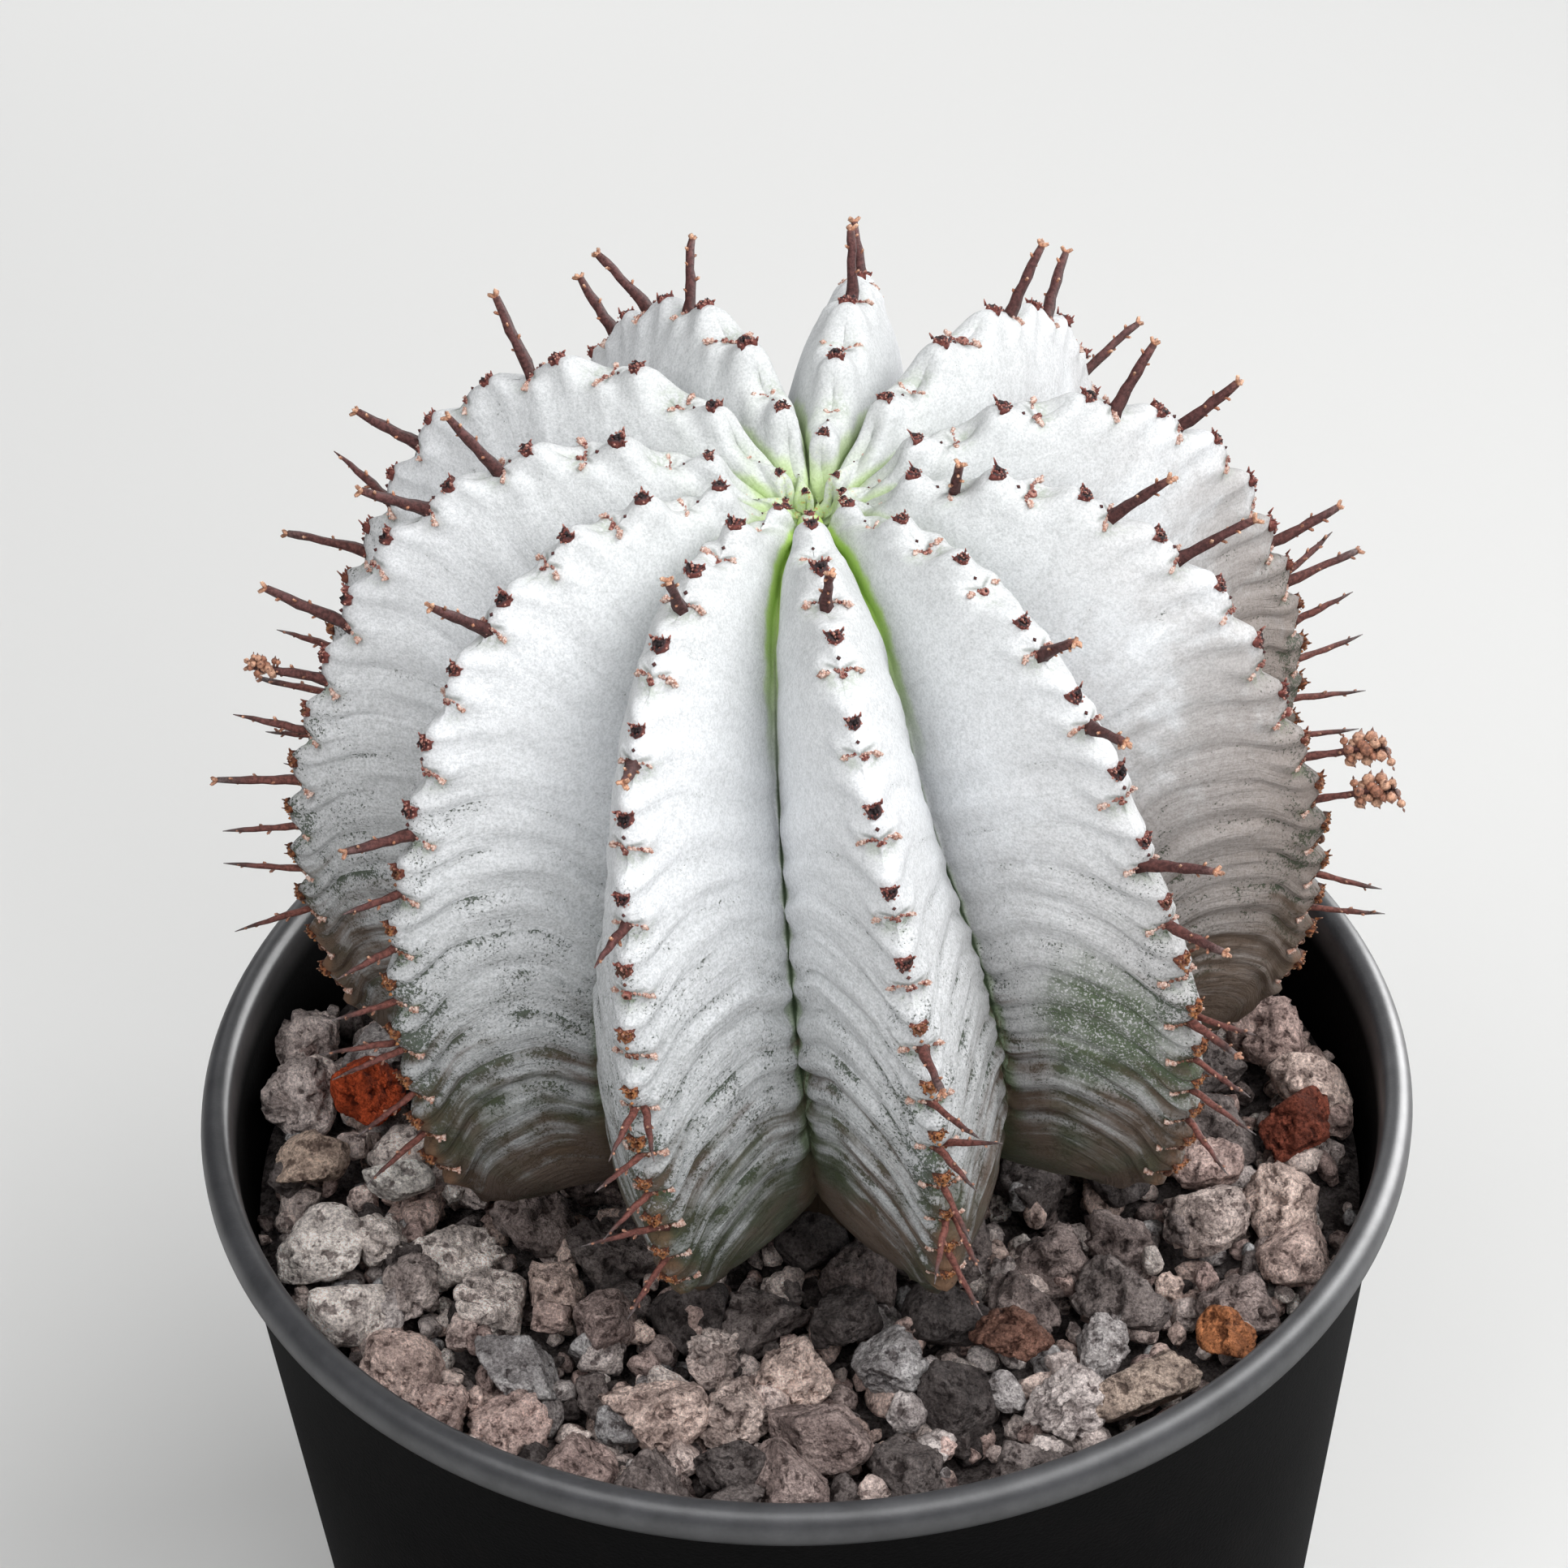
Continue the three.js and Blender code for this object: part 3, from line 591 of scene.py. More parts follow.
def skin(index, sign, steps):
    """Points of one flank of a rib, rows by steps, with what the relief and the colours need."""
    rib, other = RIBS[index], RIBS[(index + sign) % len(RIBS)]
    own_rows, counts = rows_of(rib)
    other_rows = rows_of(other)[0]
    step = np.array(steps)[None, :]
    row = own_rows[:, None]
    level = row + ((row + other_rows[:, None]) / 2 - row) * step**2
    rise = furrow_rise(step, level) * smoothstep(0, 30, 166 - level)
    length = np.maximum(level - rise, 0.4)
    crest, groove = along(CREST, place_at(length)), along(GROOVE, place_at(length))
    out_x, out_z = outward(length)
    depth = hollow(step, length)[..., None]
    keel = KEEL_HEIGHT * np.exp(-((step / KEEL_WIDTH) ** 2)) * smoothstep(20, 58, length)
    keel = keel * (1 - smoothstep(130, 150, length))
    middle = crest + (groove - crest) * depth
    reach = toward_groove(rib.reach, other.reach, step)
    radius = middle[..., 0] * reach + out_x * keel
    hang = smoothstep(85, 122, length) * (1 - smoothstep(138, 162, length))
    hang = hang * toward_groove(rib.hang, other.hang, step)
    height = POT_HEIGHT + middle[..., 1] + out_z * keel - hang
    own = facing(rib, length)
    turn = facing(other, length) - own
    turn = turn - 2 * np.pi * np.round(turn / (2 * np.pi))
    angle = own + turn * step / 2
    points = np.stack(
        [PLANT_X + radius * np.sin(angle), PLANT_Y - radius * np.cos(angle), height], axis=-1
    )
    shape = points.shape[:2]
    return {
        "points": points,
        "down": length,
        "count": np.broadcast_to(counts[:, None], shape),
        "step": np.broadcast_to(step, shape),
        "side": np.broadcast_to(float(sign), shape),
        "stain": np.broadcast_to(toward_groove(rib.stain, other.stain, step), shape),
        "rib": np.broadcast_to(float(index), shape),
    }


def stem_grid():
    """The whole skin as rings: each rib's left flank, crest and right flank in turn."""
    parts = []
    for index in range(len(RIBS)):
        parts.append(skin(index, -1, FLANK_STEPS[::-1]))
        parts.append(skin(index, 1, (0.0, *FLANK_STEPS, 1.0)))
    return {name: np.concatenate([part[name] for part in parts], axis=1) for name in parts[0]}


def beside(points, columns):
    """Distance along each row of the skin to the nearest of some columns, in millimetres."""
    run = np.cumsum(np.linalg.norm(points - np.roll(points, 1, axis=1), axis=-1), axis=1)
    gap = np.abs(run[:, :, None] - run[:, None, columns])
    gap = np.minimum(gap, run[:, -1, None, None] - gap)
    return gap.min(axis=2)


def grid_normals(points):
    down = np.gradient(points, axis=0)
    across = (np.roll(points, -1, axis=1) - np.roll(points, 1, axis=1)) / 2
    normal = np.cross(down, across)
    return normal / np.maximum(np.linalg.norm(normal, axis=-1, keepdims=True), 1e-9)


def neck_rings(around):
    """Rings of the root neck under the stem, down into the fill: radius and height for each."""
    profile = (
        (15.0, 2.0), (13.4, -1.0), (ROOT_RADIUS, -4.0), (ROOT_RADIUS, -16.0),
        (ROOT_RADIUS * 0.85, 14 - ROOT_DEPTH), (ROOT_RADIUS * 0.45, 2 - ROOT_DEPTH),
    )
    towards = around - np.array([PLANT_X, PLANT_Y, 0])
    angle = np.arctan2(towards[:, 0], -towards[:, 1])
    rings = []
    for radius, height in profile:
        ring = np.stack(
            [
                PLANT_X + radius * np.sin(angle),
                PLANT_Y - radius * np.cos(angle),
                np.full(len(angle), POT_HEIGHT + height),
            ],
            axis=-1,
        )
        rings.append(ring)
    return np.array(rings)


def crest_relief(graph, wires, since_scar, down):
    """Noses over the scars with dips between them, and round pads about the crown."""
    dip = graph.hump(0.18, 0.6, 0.84, since_scar) * wires["Dip depth"]
    nose = wires["Nose height"] * (0.75 + 0.5 * graph.hump(0.76, 0.88, 1.0, since_scar))
    pad = graph.maths("COSINE", (since_scar - 0.93) * (2 * math.pi)) * wires["Crown pad height"]
    crown = 1 - graph.ramp(20, 48, down)
    return (nose - dip) * (1 - crown) + (pad - 0.4 * MM) * crown


def flank_relief(graph, wires, since_scar, down, count, step, own_flank):
    """Ledges that are highest just above each scar, and uneven furrows farther from the crest."""
    ledge = graph.ramp(0.0, 0.85, since_scar) * (1 - graph.ramp(0.89, 1.0, since_scar))
    ledge = (ledge - 0.55) * wires["Ledge height"] * (0.35 + 0.65 * graph.ramp(40, 105, down))
    drift = graph.noise(graph.vector(count * 0.8, step * 1.2, own_flank), 1.0, 1.0)
    turn = since_scar * (2 * math.pi) + (drift - 0.5) * 1.6
    bands = graph.noise(graph.vector(count * 2.0 + drift, step * 0.8, own_flank + 11), 1.0)
    furrow = (bands - 0.5) * 2.6 - graph.maths("COSINE", turn + 0.3) * (0.1 + 0.6 * drift)
    second = (0 - graph.maths("COSINE", turn * 2 + 1.4)) * (0.7 - drift)
    furrow = furrow + second * graph.ramp(60, 115, down) * 0.5
    furrow = furrow * wires["Furrow depth"] * (0.4 + 0.6 * graph.ramp(45, 105, down))
    furrow = furrow * (1 - 0.55 * graph.ramp(112, 130, down))
    far = graph.ramp(0.2, 0.45, step)
    flank = ledge * (1 - far) + furrow * far
    return flank * (1 + 0.5 * graph.ramp(0.7, 1.0, step) * graph.ramp(55, 95, down))


def relief_tree(material):
    """Noses and notches along each crest, ledges and furrows over the flanks."""
    graph = modifier_tree("rib relief")
    wires = sizes_of(graph, RELIEF)
    names = ("count", "step", "life", "rib", "down", "side", "aside")
    count, step, life, rib, down, side, aside = (named(graph, name) for name in names)
    since_scar = graph.maths("FRACT", count + 2)
    own_flank = rib * 7.3 + side * 2.1
    crest = crest_relief(graph, wires, since_scar, down)
    flank = flank_relief(graph, wires, since_scar, down, count, step, own_flank)
    shelf = graph.hump(0.12, 0.4, 0.66, since_scar) * graph.hump(0.5, 2.7, 6.0, aside)
    shelf = shelf * wires["Shelf height"] * graph.ramp(8, 24, down)
    narrower = (1 / CROWN_CREST_WIDTH - 1 / CREST_WIDTH) * (1 - graph.ramp(10, 26, down))
    near = graph.maths("EXPONENT", 0 - (aside * (1 / CREST_WIDTH + narrower)) ** 2)
    ripple = graph.noise(graph.vector(count * 2.6, step * 1.8, own_flank + 31), 1.0)
    wrinkle = (ripple - 0.5) * 2 * wires["Wrinkle height"] * (1 - near)
    seam = graph.ramp(0.95, 1.0, step) * wires["Seam depth"]
    height = (crest * near + flank * (1 - near) + wrinkle + shelf - seam) * life
    outside = named(graph, "outward", "FLOAT_VECTOR")
    close_tree(graph, graph.moved(wires["Geometry"], outside, height), material)
    return graph


def skin_values(grid, points, below_rings):
    """What the relief and the colours need at each point, carried on down the neck."""
    values = {name: grid[name] for name in SKIN_VALUES}
    values["life"] = smoothstep(0.5, 6, grid["down"]) * (1 - smoothstep(136, 158, grid["down"]))
    for name, numbers in values.items():
        below = np.repeat(numbers[-1:], below_rings, axis=0)
        if name == "down":
            below = below + np.arange(1, below_rings + 1)[:, None] * 4
        flat = np.concatenate([numbers, below]).ravel()
        values[name] = np.concatenate([flat, [flat[0], flat[-1]]])
    normals = grid_normals(points).reshape(-1, 3)
    values["outward"] = np.concatenate([normals, [[0, 0, 1], [0, 0, -1]]])
    return values


def stem_faces(rings, around):
    """Faces between the rings, and fans to the crown and to the end of the root after them."""
    faces = []
    for ring in range(rings - 1):
        faces += turned_over(ring_faces(ring * around, (ring + 1) * around, around))
    last, crown, base = (rings - 1) * around, rings * around, rings * around + 1
    for spoke in range(around):
        after = (spoke + 1) % around
        faces.append((crown, spoke, after))
        faces.append((base, last + after, last + spoke))
    return faces


def stem(material):
    """The stem, and where its skin lies, as a grid of points after the relief."""
    grid = stem_grid()
    rows, around = grid["down"].shape
    per_rib = around // len(RIBS)
    grid["aside"] = beside(grid["points"], np.arange(len(FLANK_STEPS), around, per_rib))
    grid["valley"] = beside(grid["points"], np.arange(per_rib - 1, around, per_rib))
    neck = neck_rings(grid["points"][-1])
    points = np.concatenate([grid["points"], neck])
    crown = (PLANT_X, PLANT_Y, POT_HEIGHT + CREST[0][1])
    base = (PLANT_X, PLANT_Y, POT_HEIGHT - ROOT_DEPTH)
    corners = np.concatenate([points.reshape(-1, 3), [crown, base]])
    values = skin_values(grid, points, len(neck))
    smooth = mesh_object("stem", corners, stem_faces(len(points), around), values)
    made = grown(smooth, relief_tree(material), RELIEF, material)
    moved = np.zeros(len(made.data.vertices) * 3, np.float32)
    made.data.vertices.foreach_get("co", moved)
    skin_points = moved.reshape(-1, 3)[: rows * around].reshape(rows, around, 3) / MM
    return made, skin_points


# Small things on the crests


class Crests:
    """Places on the finished skin along each rib's crest."""

    def __init__(self, points):
        self.points = points
        self.per_rib = points.shape[1] // len(RIBS)
        self.crest = len(FLANK_STEPS)

    def at(self, rib, scar, phase=0.0, aside=0.0):
        """A point at or beside the crest, and its frame: across, up the rib, out of the skin."""
        row = len(OPENING) + scar * len(PHASES) + PHASES.index(phase)
        column = rib * self.per_rib + self.crest
        here = self.points[row, column]
        if aside:
            sign = 1 if aside > 0 else -1
            line = self.points[row, column + sign * np.arange(12)]
            run = np.concatenate([[0], np.cumsum(np.linalg.norm(np.diff(line, axis=0), axis=1))])
            here = np.array([np.interp(abs(aside), run, line[:, axis]) for axis in range(3)])
        up = self.points[row - 2, column] - self.points[row + 2, column]
        across = self.points[row, column + 3] - self.points[row, column - 3]
        up = up / np.linalg.norm(up)
        out = np.cross(across, up)
        out = out / np.linalg.norm(out)
        return here, np.stack([np.cross(up, out), up, out], axis=-1)


UPRIGHT = np.array([0.1, 0.2, 1.0])


def turned_to(aim, up):
    """A frame whose third axis is aim, with its second as near to up as it can be."""
    aim = aim / np.linalg.norm(aim)
    across = np.cross(up, aim)
    across = across / np.linalg.norm(across)
    return np.stack([across, np.cross(aim, across), aim], axis=-1)


def euler_of(frame):
    return tuple(Matrix(frame.tolist()).to_euler("XYZ"))


EIGHT_SIDES = [(0, 2, 4), (2, 1, 4), (1, 3, 4), (3, 0, 4), (2, 0, 5), (1, 2, 5), (3, 1, 5), (0, 3, 5)]


class Shell:
    """Collects small closed solids, with a number from 0 to 1 at each corner for their colour."""

    def __init__(self):
        self.points, self.faces, self.tones = [], [], []

    def add(self, points, faces, tones):
        start = len(self.points)
        self.points += [tuple(point) for point in points]
        self.faces += [tuple(start + corner for corner in face) for face in faces]
        self.tones += list(tones)

    def tube(self, path, radii, tones, sides=6, ridge=0.0):
        """A tube along a path, closed at both ends."""
        path = np.array(path, float)
        along_path = np.gradient(path, axis=0)
        points = []
        for place, way, radius in zip(path, along_path, radii):
            frame = turned_to(way, np.array([0.3, 1.0, 0.1]))
            for side in range(sides):
                angle = 2 * math.pi * side / sides
                reach = radius * (1 + (ridge if side % 2 else -ridge))
                offset = frame[:, 0] * math.cos(angle) + frame[:, 1] * math.sin(angle)
                points.append(place + offset * reach)
        faces = [tuple(range(sides))[::-1]]
        for ring in range(len(path) - 1):
            faces += ring_faces(ring * sides, (ring + 1) * sides, sides)
        faces.append(tuple(range((len(path) - 1) * sides, len(path) * sides)))
        self.add(points, faces, np.repeat(tones, sides))

    def knob(self, centre, size, tone, frame=None):
        """A small eight-sided lump."""
        axes = np.eye(3) if frame is None else frame
        corners = [
            np.array(centre) + axes[:, axis] * sign * size[axis]
            for axis in range(3)
            for sign in (1, -1)
        ]
        self.add(corners, EIGHT_SIDES, [tone] * 6)

    def ball(self, centre, size, tone, axes):
        """A small round lump: an eight-sided one with each side parted in four."""
        corners = [sign * axes[:, axis] for axis in range(3) for sign in (1, -1)]
        middles, faces = {}, []
        for side in EIGHT_SIDES:
            between = []
            for first, second in zip(side, (*side[1:], side[0])):
                key = tuple(sorted((first, second)))
                if key not in middles:
                    middles[key] = len(corners)
                    middle = corners[first] + corners[second]
                    corners.append(middle / np.linalg.norm(middle))
                between.append(middles[key])
            a, b, c = side
            ab, bc, ca = between
            faces += [(a, ab, ca), (ab, b, bc), (ca, bc, c), (ab, bc, ca)]
        self.add([centre + corner * size for corner in corners], faces, [tone] * len(corners))

    def shape(self, name, library):
        """Files the solids as one shape of a library that a tree places many times."""
        made = mesh_object(name, self.points, self.faces, {"tone": self.tones}, smooth=False)
        into_library(made, library)


def placing_tree(name, library, material, relief):
    """Sets shapes of a library on points, each turned and sized as its point says."""
    graph = modifier_tree(name)
    wires = sizes_of(graph, relief)
    settings = {"transform_space": "RELATIVE"}
    inputs = {"Collection": library, "Separate Children": True, "Reset Children": True}
    shapes = graph.node("GeometryNodeCollectionInfo", settings, inputs)
    turn = named(graph, "turn", "FLOAT_VECTOR")
    inputs = {
        "Points": wires["Geometry"],
        "Instance": shapes,
        "Pick Instance": True,
        "Instance Index": named(graph, "shape", "INT"),
        "Rotation": graph.node("FunctionNodeEulerToRotation", None, {"Euler": turn}),
        "Scale": named(graph, "size", "FLOAT_VECTOR"),
    }
    placed = graph.node("GeometryNodeInstanceOnPoints", None, inputs)
    if relief:
        placed = graph.node("GeometryNodeRealizeInstances", None, {"Geometry": placed})
        placed = roughened(graph, placed, wires)
    close_tree(graph, placed, material)
    return graph


def roughened(graph, geometry, sizes):
    """Lumps, grain and pores over the stones, more on some stones than on others."""
    where = graph.node("GeometryNodeInputPosition")
    own = graph.maths("FRACT", named(graph, "age") * 5.3)
    lumps = 0.45 - graph.maths("ABSOLUTE", rippled(graph, where, 2.8 * MM, 2.0)) * 2
    grain = rippled(graph, where, 0.85 * MM, 3.0)
    pores = 1 - graph.ramp(-0.3, -0.02, rippled(graph, where, 1.7 * MM, 2.0))
    rough = lumps * sizes["Lump height"] * (0.3 + own) + grain * sizes["Grain height"] * (0.4 + own)
    rough = rough - pores * sizes["Pore depth"] * (0.25 + own)
    return graph.moved(geometry, graph.node("GeometryNodeInputNormal"), rough)


def rippled(graph, where, size, detail):
    """Noise between about -1 and 1, with lumps of the given size."""
    return (graph.noise(where, size, detail, 0.6) - 0.5) * 2


def placed_piece(name, spots, library, material, relief=None):
    """A piece made of a library's shapes, one for each spot."""
    values = {
        "turn": [spot["turn"] for spot in spots],
        "size": [spot["size"] for spot in spots],
        "age": [spot["age"] for spot in spots],
        "tint": [spot.get("tint", 0.0) for spot in spots],
    }
    points = mesh_object(name, [spot["at"] for spot in spots], [], values)
    shape = points.data.attributes.new("shape", "INT", "POINT")
    shape.data.foreach_set("value", [spot["shape"] for spot in spots])
    relief = relief or {}
    return grown(points, placing_tree(name, library, material, relief), relief, material)


def pick(random, count):
    return int(random() * (count - 0.001))


def library_of(name):
    return bpy.data.collections.new(name)


# Leaf scars, dots and the barred eyes where stalks grow


def scar_shape(library, name, random):
    """A crusty leaf scar: horned at the top, pointed below, with a dark sunken middle."""
    outline = [
        (0.0, 0.85), (0.5, 0.8), (0.85, 0.95), (1.3, 1.0), (1.15, 0.45), (1.1, -0.1), (0.75, -0.7),
        (0.0, -1.15), (-0.75, -0.7), (-1.1, -0.1), (-1.15, 0.45), (-1.3, 1.0), (-0.85, 0.95), (-0.5, 0.8),
    ]
    sides = len(outline)
    rough = [0.78 + 0.4 * random() for _ in outline]
    rings = [(0.95, -0.6, 0.85), (0.95, 0.15, 0.82), (0.7, 0.45, 0.45), (0.4, 0.2, 0.3)]
    points, tones = [], []
    for share, height, tone in rings:
        for (x, y), stretch in zip(outline, rough):
            wobble = stretch * (0.93 + 0.14 * random())
            points.append((x * share * wobble, y * share * wobble, height + 0.35 * random()))
            tones.append(tone - 0.2 * random())
    points.append((0.0, -0.1, 0.15))
    tones.append(0.0)
    shell = Shell()
    shell.add(points, turned_over(stacked_faces(len(rings), sides)), tones)
    for place, long in ((-1.1, 0.5), (-0.5 + 0.3 * random(), 0.2), (0.3 + 0.3 * random(), 0.3), (1.1, 0.5)):
        root = (place, 0.75, 0.3)
        tip = (place * 1.2, 0.9 + long * random(), 0.45 + (0.3 + long) * random())
        shell.tube([root, tip], [0.24, 0.09], [0.6, 0.95], sides=4)
    for _ in range(12):
        centre = ((random() - 0.5) * 1.7, (random() - 0.5) * 1.6, 0.3 + 0.35 * random())
        size = 0.14 + 0.2 * random()
        shell.knob(centre, (size, size * 1.3, size * 1.2), 0.05 + 0.95 * random())
    for number in range(7):
        angle = 0.9 * number + 0.5 * random()
        centre = (1.15 * math.sin(angle), 0.95 * math.cos(angle), 0.2 + 0.2 * random())
        size = 0.12 + 0.12 * random()
        shell.knob(centre, (size, size, size), 0.85 + 0.15 * random())
    shell.shape(name, library)


def nub_shape(library, name, random):
    """One lump of the bar below a scar."""
    shell = Shell()
    shell.knob((0, 0, 0.1), (0.46, 0.38, 0.45), 0.85)
    for _ in range(3):
        centre = (0.6 * (random() - 0.5), 0.5 * (random() - 0.5), 0.2 + 0.2 * random())
        shell.knob(centre, (0.26, 0.24, 0.24), 0.6 + 0.4 * random())
    shell.shape(name, library)


def stub_shape(library, name, random):
    """The ring that a fallen stalk leaves."""
    sides = 9
    rings = [(0.85, -0.4, 0.7), (0.8, 0.45, 0.85), (0.5, 0.62, 0.95), (0.36, 0.2, 0.2)]
    points, tones = [], []
    for radius, height, tone in rings:
        for side in range(sides):
            angle = 2 * math.pi * side / sides
            reach = radius * (0.7 + 0.45 * random())
            points.append((reach * math.cos(angle), reach * math.sin(angle), height + 0.35 * random()))
            tones.append(tone)
    points.append((0, 0, 0.1))
    tones.append(0.05)
    shell = Shell()
    shell.add(points, stacked_faces(len(rings), sides), tones)
    shell.shape(name, library)


def dot_shape(library, name):
    """The small dot under a scar."""
    shell = Shell()
    shell.knob((0, 0, 0.05), (0.34, 0.34, 0.34), 0.5)
    shell.shape(name, library)


# Shapes in the library of marks, in the order of their names: scars, nubs, the dot and the stub
SCAR_SHAPES = 3
NUB_SHAPES = 2
DOT = SCAR_SHAPES + NUB_SHAPES
STUB = DOT + 1
BAR_PLACES = (-1.0, -0.86, -0.7, -0.52, -0.34, -0.17, 0.0, 0.16, 0.33, 0.5, 0.68, 0.84, 1.0)


def mark(shape, at, frame, scale, age, tint=0.0):
    """A shape on the skin; a tint of 1 makes it pale."""
    size = (scale, scale, scale)
    return {"at": at, "turn": euler_of(frame), "size": size, "shape": shape, "age": age, "tint": tint}


def bar_marks(crests, index, scar, scale, age, random):
    """The lumps of one bar: large pale ones at its ends, small brown ones between, dark crust below."""
    marks = []
    for place in BAR_PLACES:
        end = abs(place) > 0.8
        if random() > (0.96 if end else 0.86):
            continue
        aside = place * BAR_REACH * scale * (0.95 + 0.1 * random())
        at, frame = crests.at(index, scar, BAR_AT, aside)
        at = at + frame[:, 1] * (0.1 - 1.3 * place * place + 0.25 * random()) * scale
        size = scale * ((0.95 + 0.5 * random()) if end else (0.55 + 0.4 * random()))
        tint = 0.62 + 0.38 * random() if end else 0.2 + 0.45 * random()
        marks.append(mark(SCAR_SHAPES + pick(random, NUB_SHAPES), at, frame, size, age, tint))
    for _ in range(3):
        at, frame = crests.at(index, scar, BAR_AT, 1.6 * (random() - 0.5))
        at = at - frame[:, 1] * (0.1 + 0.4 * random()) * scale
        nub = SCAR_SHAPES + pick(random, NUB_SHAPES)
        marks.append(mark(nub, at, frame, scale * (0.7 + 0.4 * random()), age))
    return marks


def crest_marks(crests, scar_paint):
    """Leaf scars, their small dots and the bars below them, down every rib."""
    library = library_of("crest marks")
    random = draws(611)
    for number in range(SCAR_SHAPES):
        scar_shape(library, f"a_scar_{number}", random)
    for number in range(NUB_SHAPES):
        nub_shape(library, f"b_nub_{number}", random)
    dot_shape(library, "c_dot")
    stub_shape(library, "d_stub", random)
    spots = []
    for index, rib in enumerate(RIBS):
        lengths = scar_lengths(rib)
        for scar in range(SCARS):
            grown_up = float(smoothstep(2, 26, lengths[scar]))
            age = float(smoothstep(55, 110, lengths[scar]))
            scale = (0.42 + 0.46 * grown_up) * (1 - 0.05 * age) * (0.85 + 0.24 * random())
            at, frame = crests.at(index, scar)
            spots.append(mark(pick(random, SCAR_SHAPES), at, frame, scale, age))
            at, frame = crests.at(index, scar, DOT_AT)
            spots.append(mark(DOT, at, frame, scale, age))
            spots += bar_marks(crests, index, scar, scale, age, random)
            if scar not in rib.stalks and random() < 0.55 * age + 0.2 * grown_up - 0.05:
                at, frame = crests.at(index, scar, BAR_AT)
                spots.append(mark(STUB, at, frame, scale * (0.7 + 0.3 * random()), age))
    return placed_piece("leaf_scars", spots, library, scar_paint)


# Dry flower stalks

# Shapes in the library of stalks, in the order of their names: blunt ones, sharp ones and a flower head
BLUNT_STALKS = 4
SHARP_STALKS = 3
HEAD = BLUNT_STALKS + SHARP_STALKS
HEAD_LUMPS = 24


def stalk_shape(library, name, random, taper):
    """A dry, ridged stalk with small knobs along it, and more at its tip where it is blunt."""
    shell = Shell()
    places = np.linspace(0, 1, 9)
    bend = (random() - 0.5) * 1.3
    rise = SPINE_LENGTH + 1.2
    path = [(bend * t * t, 0.25 * (random() - 0.5), rise * t - 1.2) for t in places]
    radii = [0.95, 0.72, 0.64, 0.6, 0.58, 0.55, 0.53, 0.48, 0.4]
    thin = [1.0, 0.9, 0.84, 0.82, 0.8, 0.76, 0.66, 0.48, 0.16]
    radii = [radius * (t if taper else 1) * (0.86 + 0.28 * random()) for radius, t in zip(radii, thin)]
    shell.tube(path, radii, places * 0.62, sides=10, ridge=0.13)
    knobs = 4 + int(4 * random())
    for number in range(knobs):
        t = 0.3 + 0.6 * (number + random()) / knobs
        angle = 2.6 * number + 1.8 * random()
        reach = float(np.interp(t, places, radii))
        way = np.array([math.cos(angle), math.sin(angle), 0.7])
        start = np.array([bend * t * t, 0, rise * t - 1.2])
        tip = start + way * (reach + 0.1 + 0.3 * random())
        size = 0.16 + 0.12 * random()
        shell.tube([start + way * reach * 0.5, tip], [size, size * 0.8], [0.66, 0.8], sides=5)
        shell.knob(tip, (size, size, size * 1.1), 0.8 + 0.2 * random(), turned_to(way, UPRIGHT))
    top = np.array(path[-1])
    for number in range(0 if taper else 4):
        angle = 2.1 * number + random()
        way = np.array([math.cos(angle), math.sin(angle), 0.9])
        tip = top + way * (0.35 + 0.4 * random())
        shell.tube([top - way * 0.2, tip], [0.3, 0.26], [0.75, 0.9], sides=5)
        shell.knob(tip, (0.32, 0.3, 0.3), 0.85 + 0.15 * random())
    shell.shape(name, library)


def head_shape(library, name, random):
    """A dried flower head: lumps on short stalks along the last of the stalk and round its tip."""
    shell = Shell()
    for number in range(HEAD_LUMPS):
        along_it = -3.4 + 4.4 * (number + random()) / HEAD_LUMPS
        angle = 2.4 * number + random()
        spread = 0.5 + 1.2 * random()
        way = np.array([math.cos(angle) * spread, math.sin(angle) * spread, 0.5 * random()])
        root = np.array([0, 0, along_it])
        centre = root + way
        frame = turned_to(way, UPRIGHT)
        shell.tube([root, centre], [0.22, 0.18], [0.6, 0.8], sides=4)
        size = 0.32 + 0.42 * random()
        tone = 0.72 + 0.28 * random()
        shell.ball(centre, size, tone, frame)
        shell.knob(centre + way * 0.45, (size * 0.3, size * 0.3, size * 0.7), 0.7, frame)
    shell.shape(name, library)


def stalk_aim(rib, length_at, side, lift):
    """The way a stalk points: out of the crest, more level than the skin is, and the way across it."""
    out_x, out_z = outward(np.array(length_at))
    angle = facing(rib, length_at)
    away = np.array([math.sin(angle), -math.cos(angle), 0])
    across = np.array([math.cos(angle), math.sin(angle), 0])
    up = np.array([0, 0, 1.0])
    return away * (out_x * 0.8 + 0.3) + up * out_z * 0.8 + across * side + up * lift, across


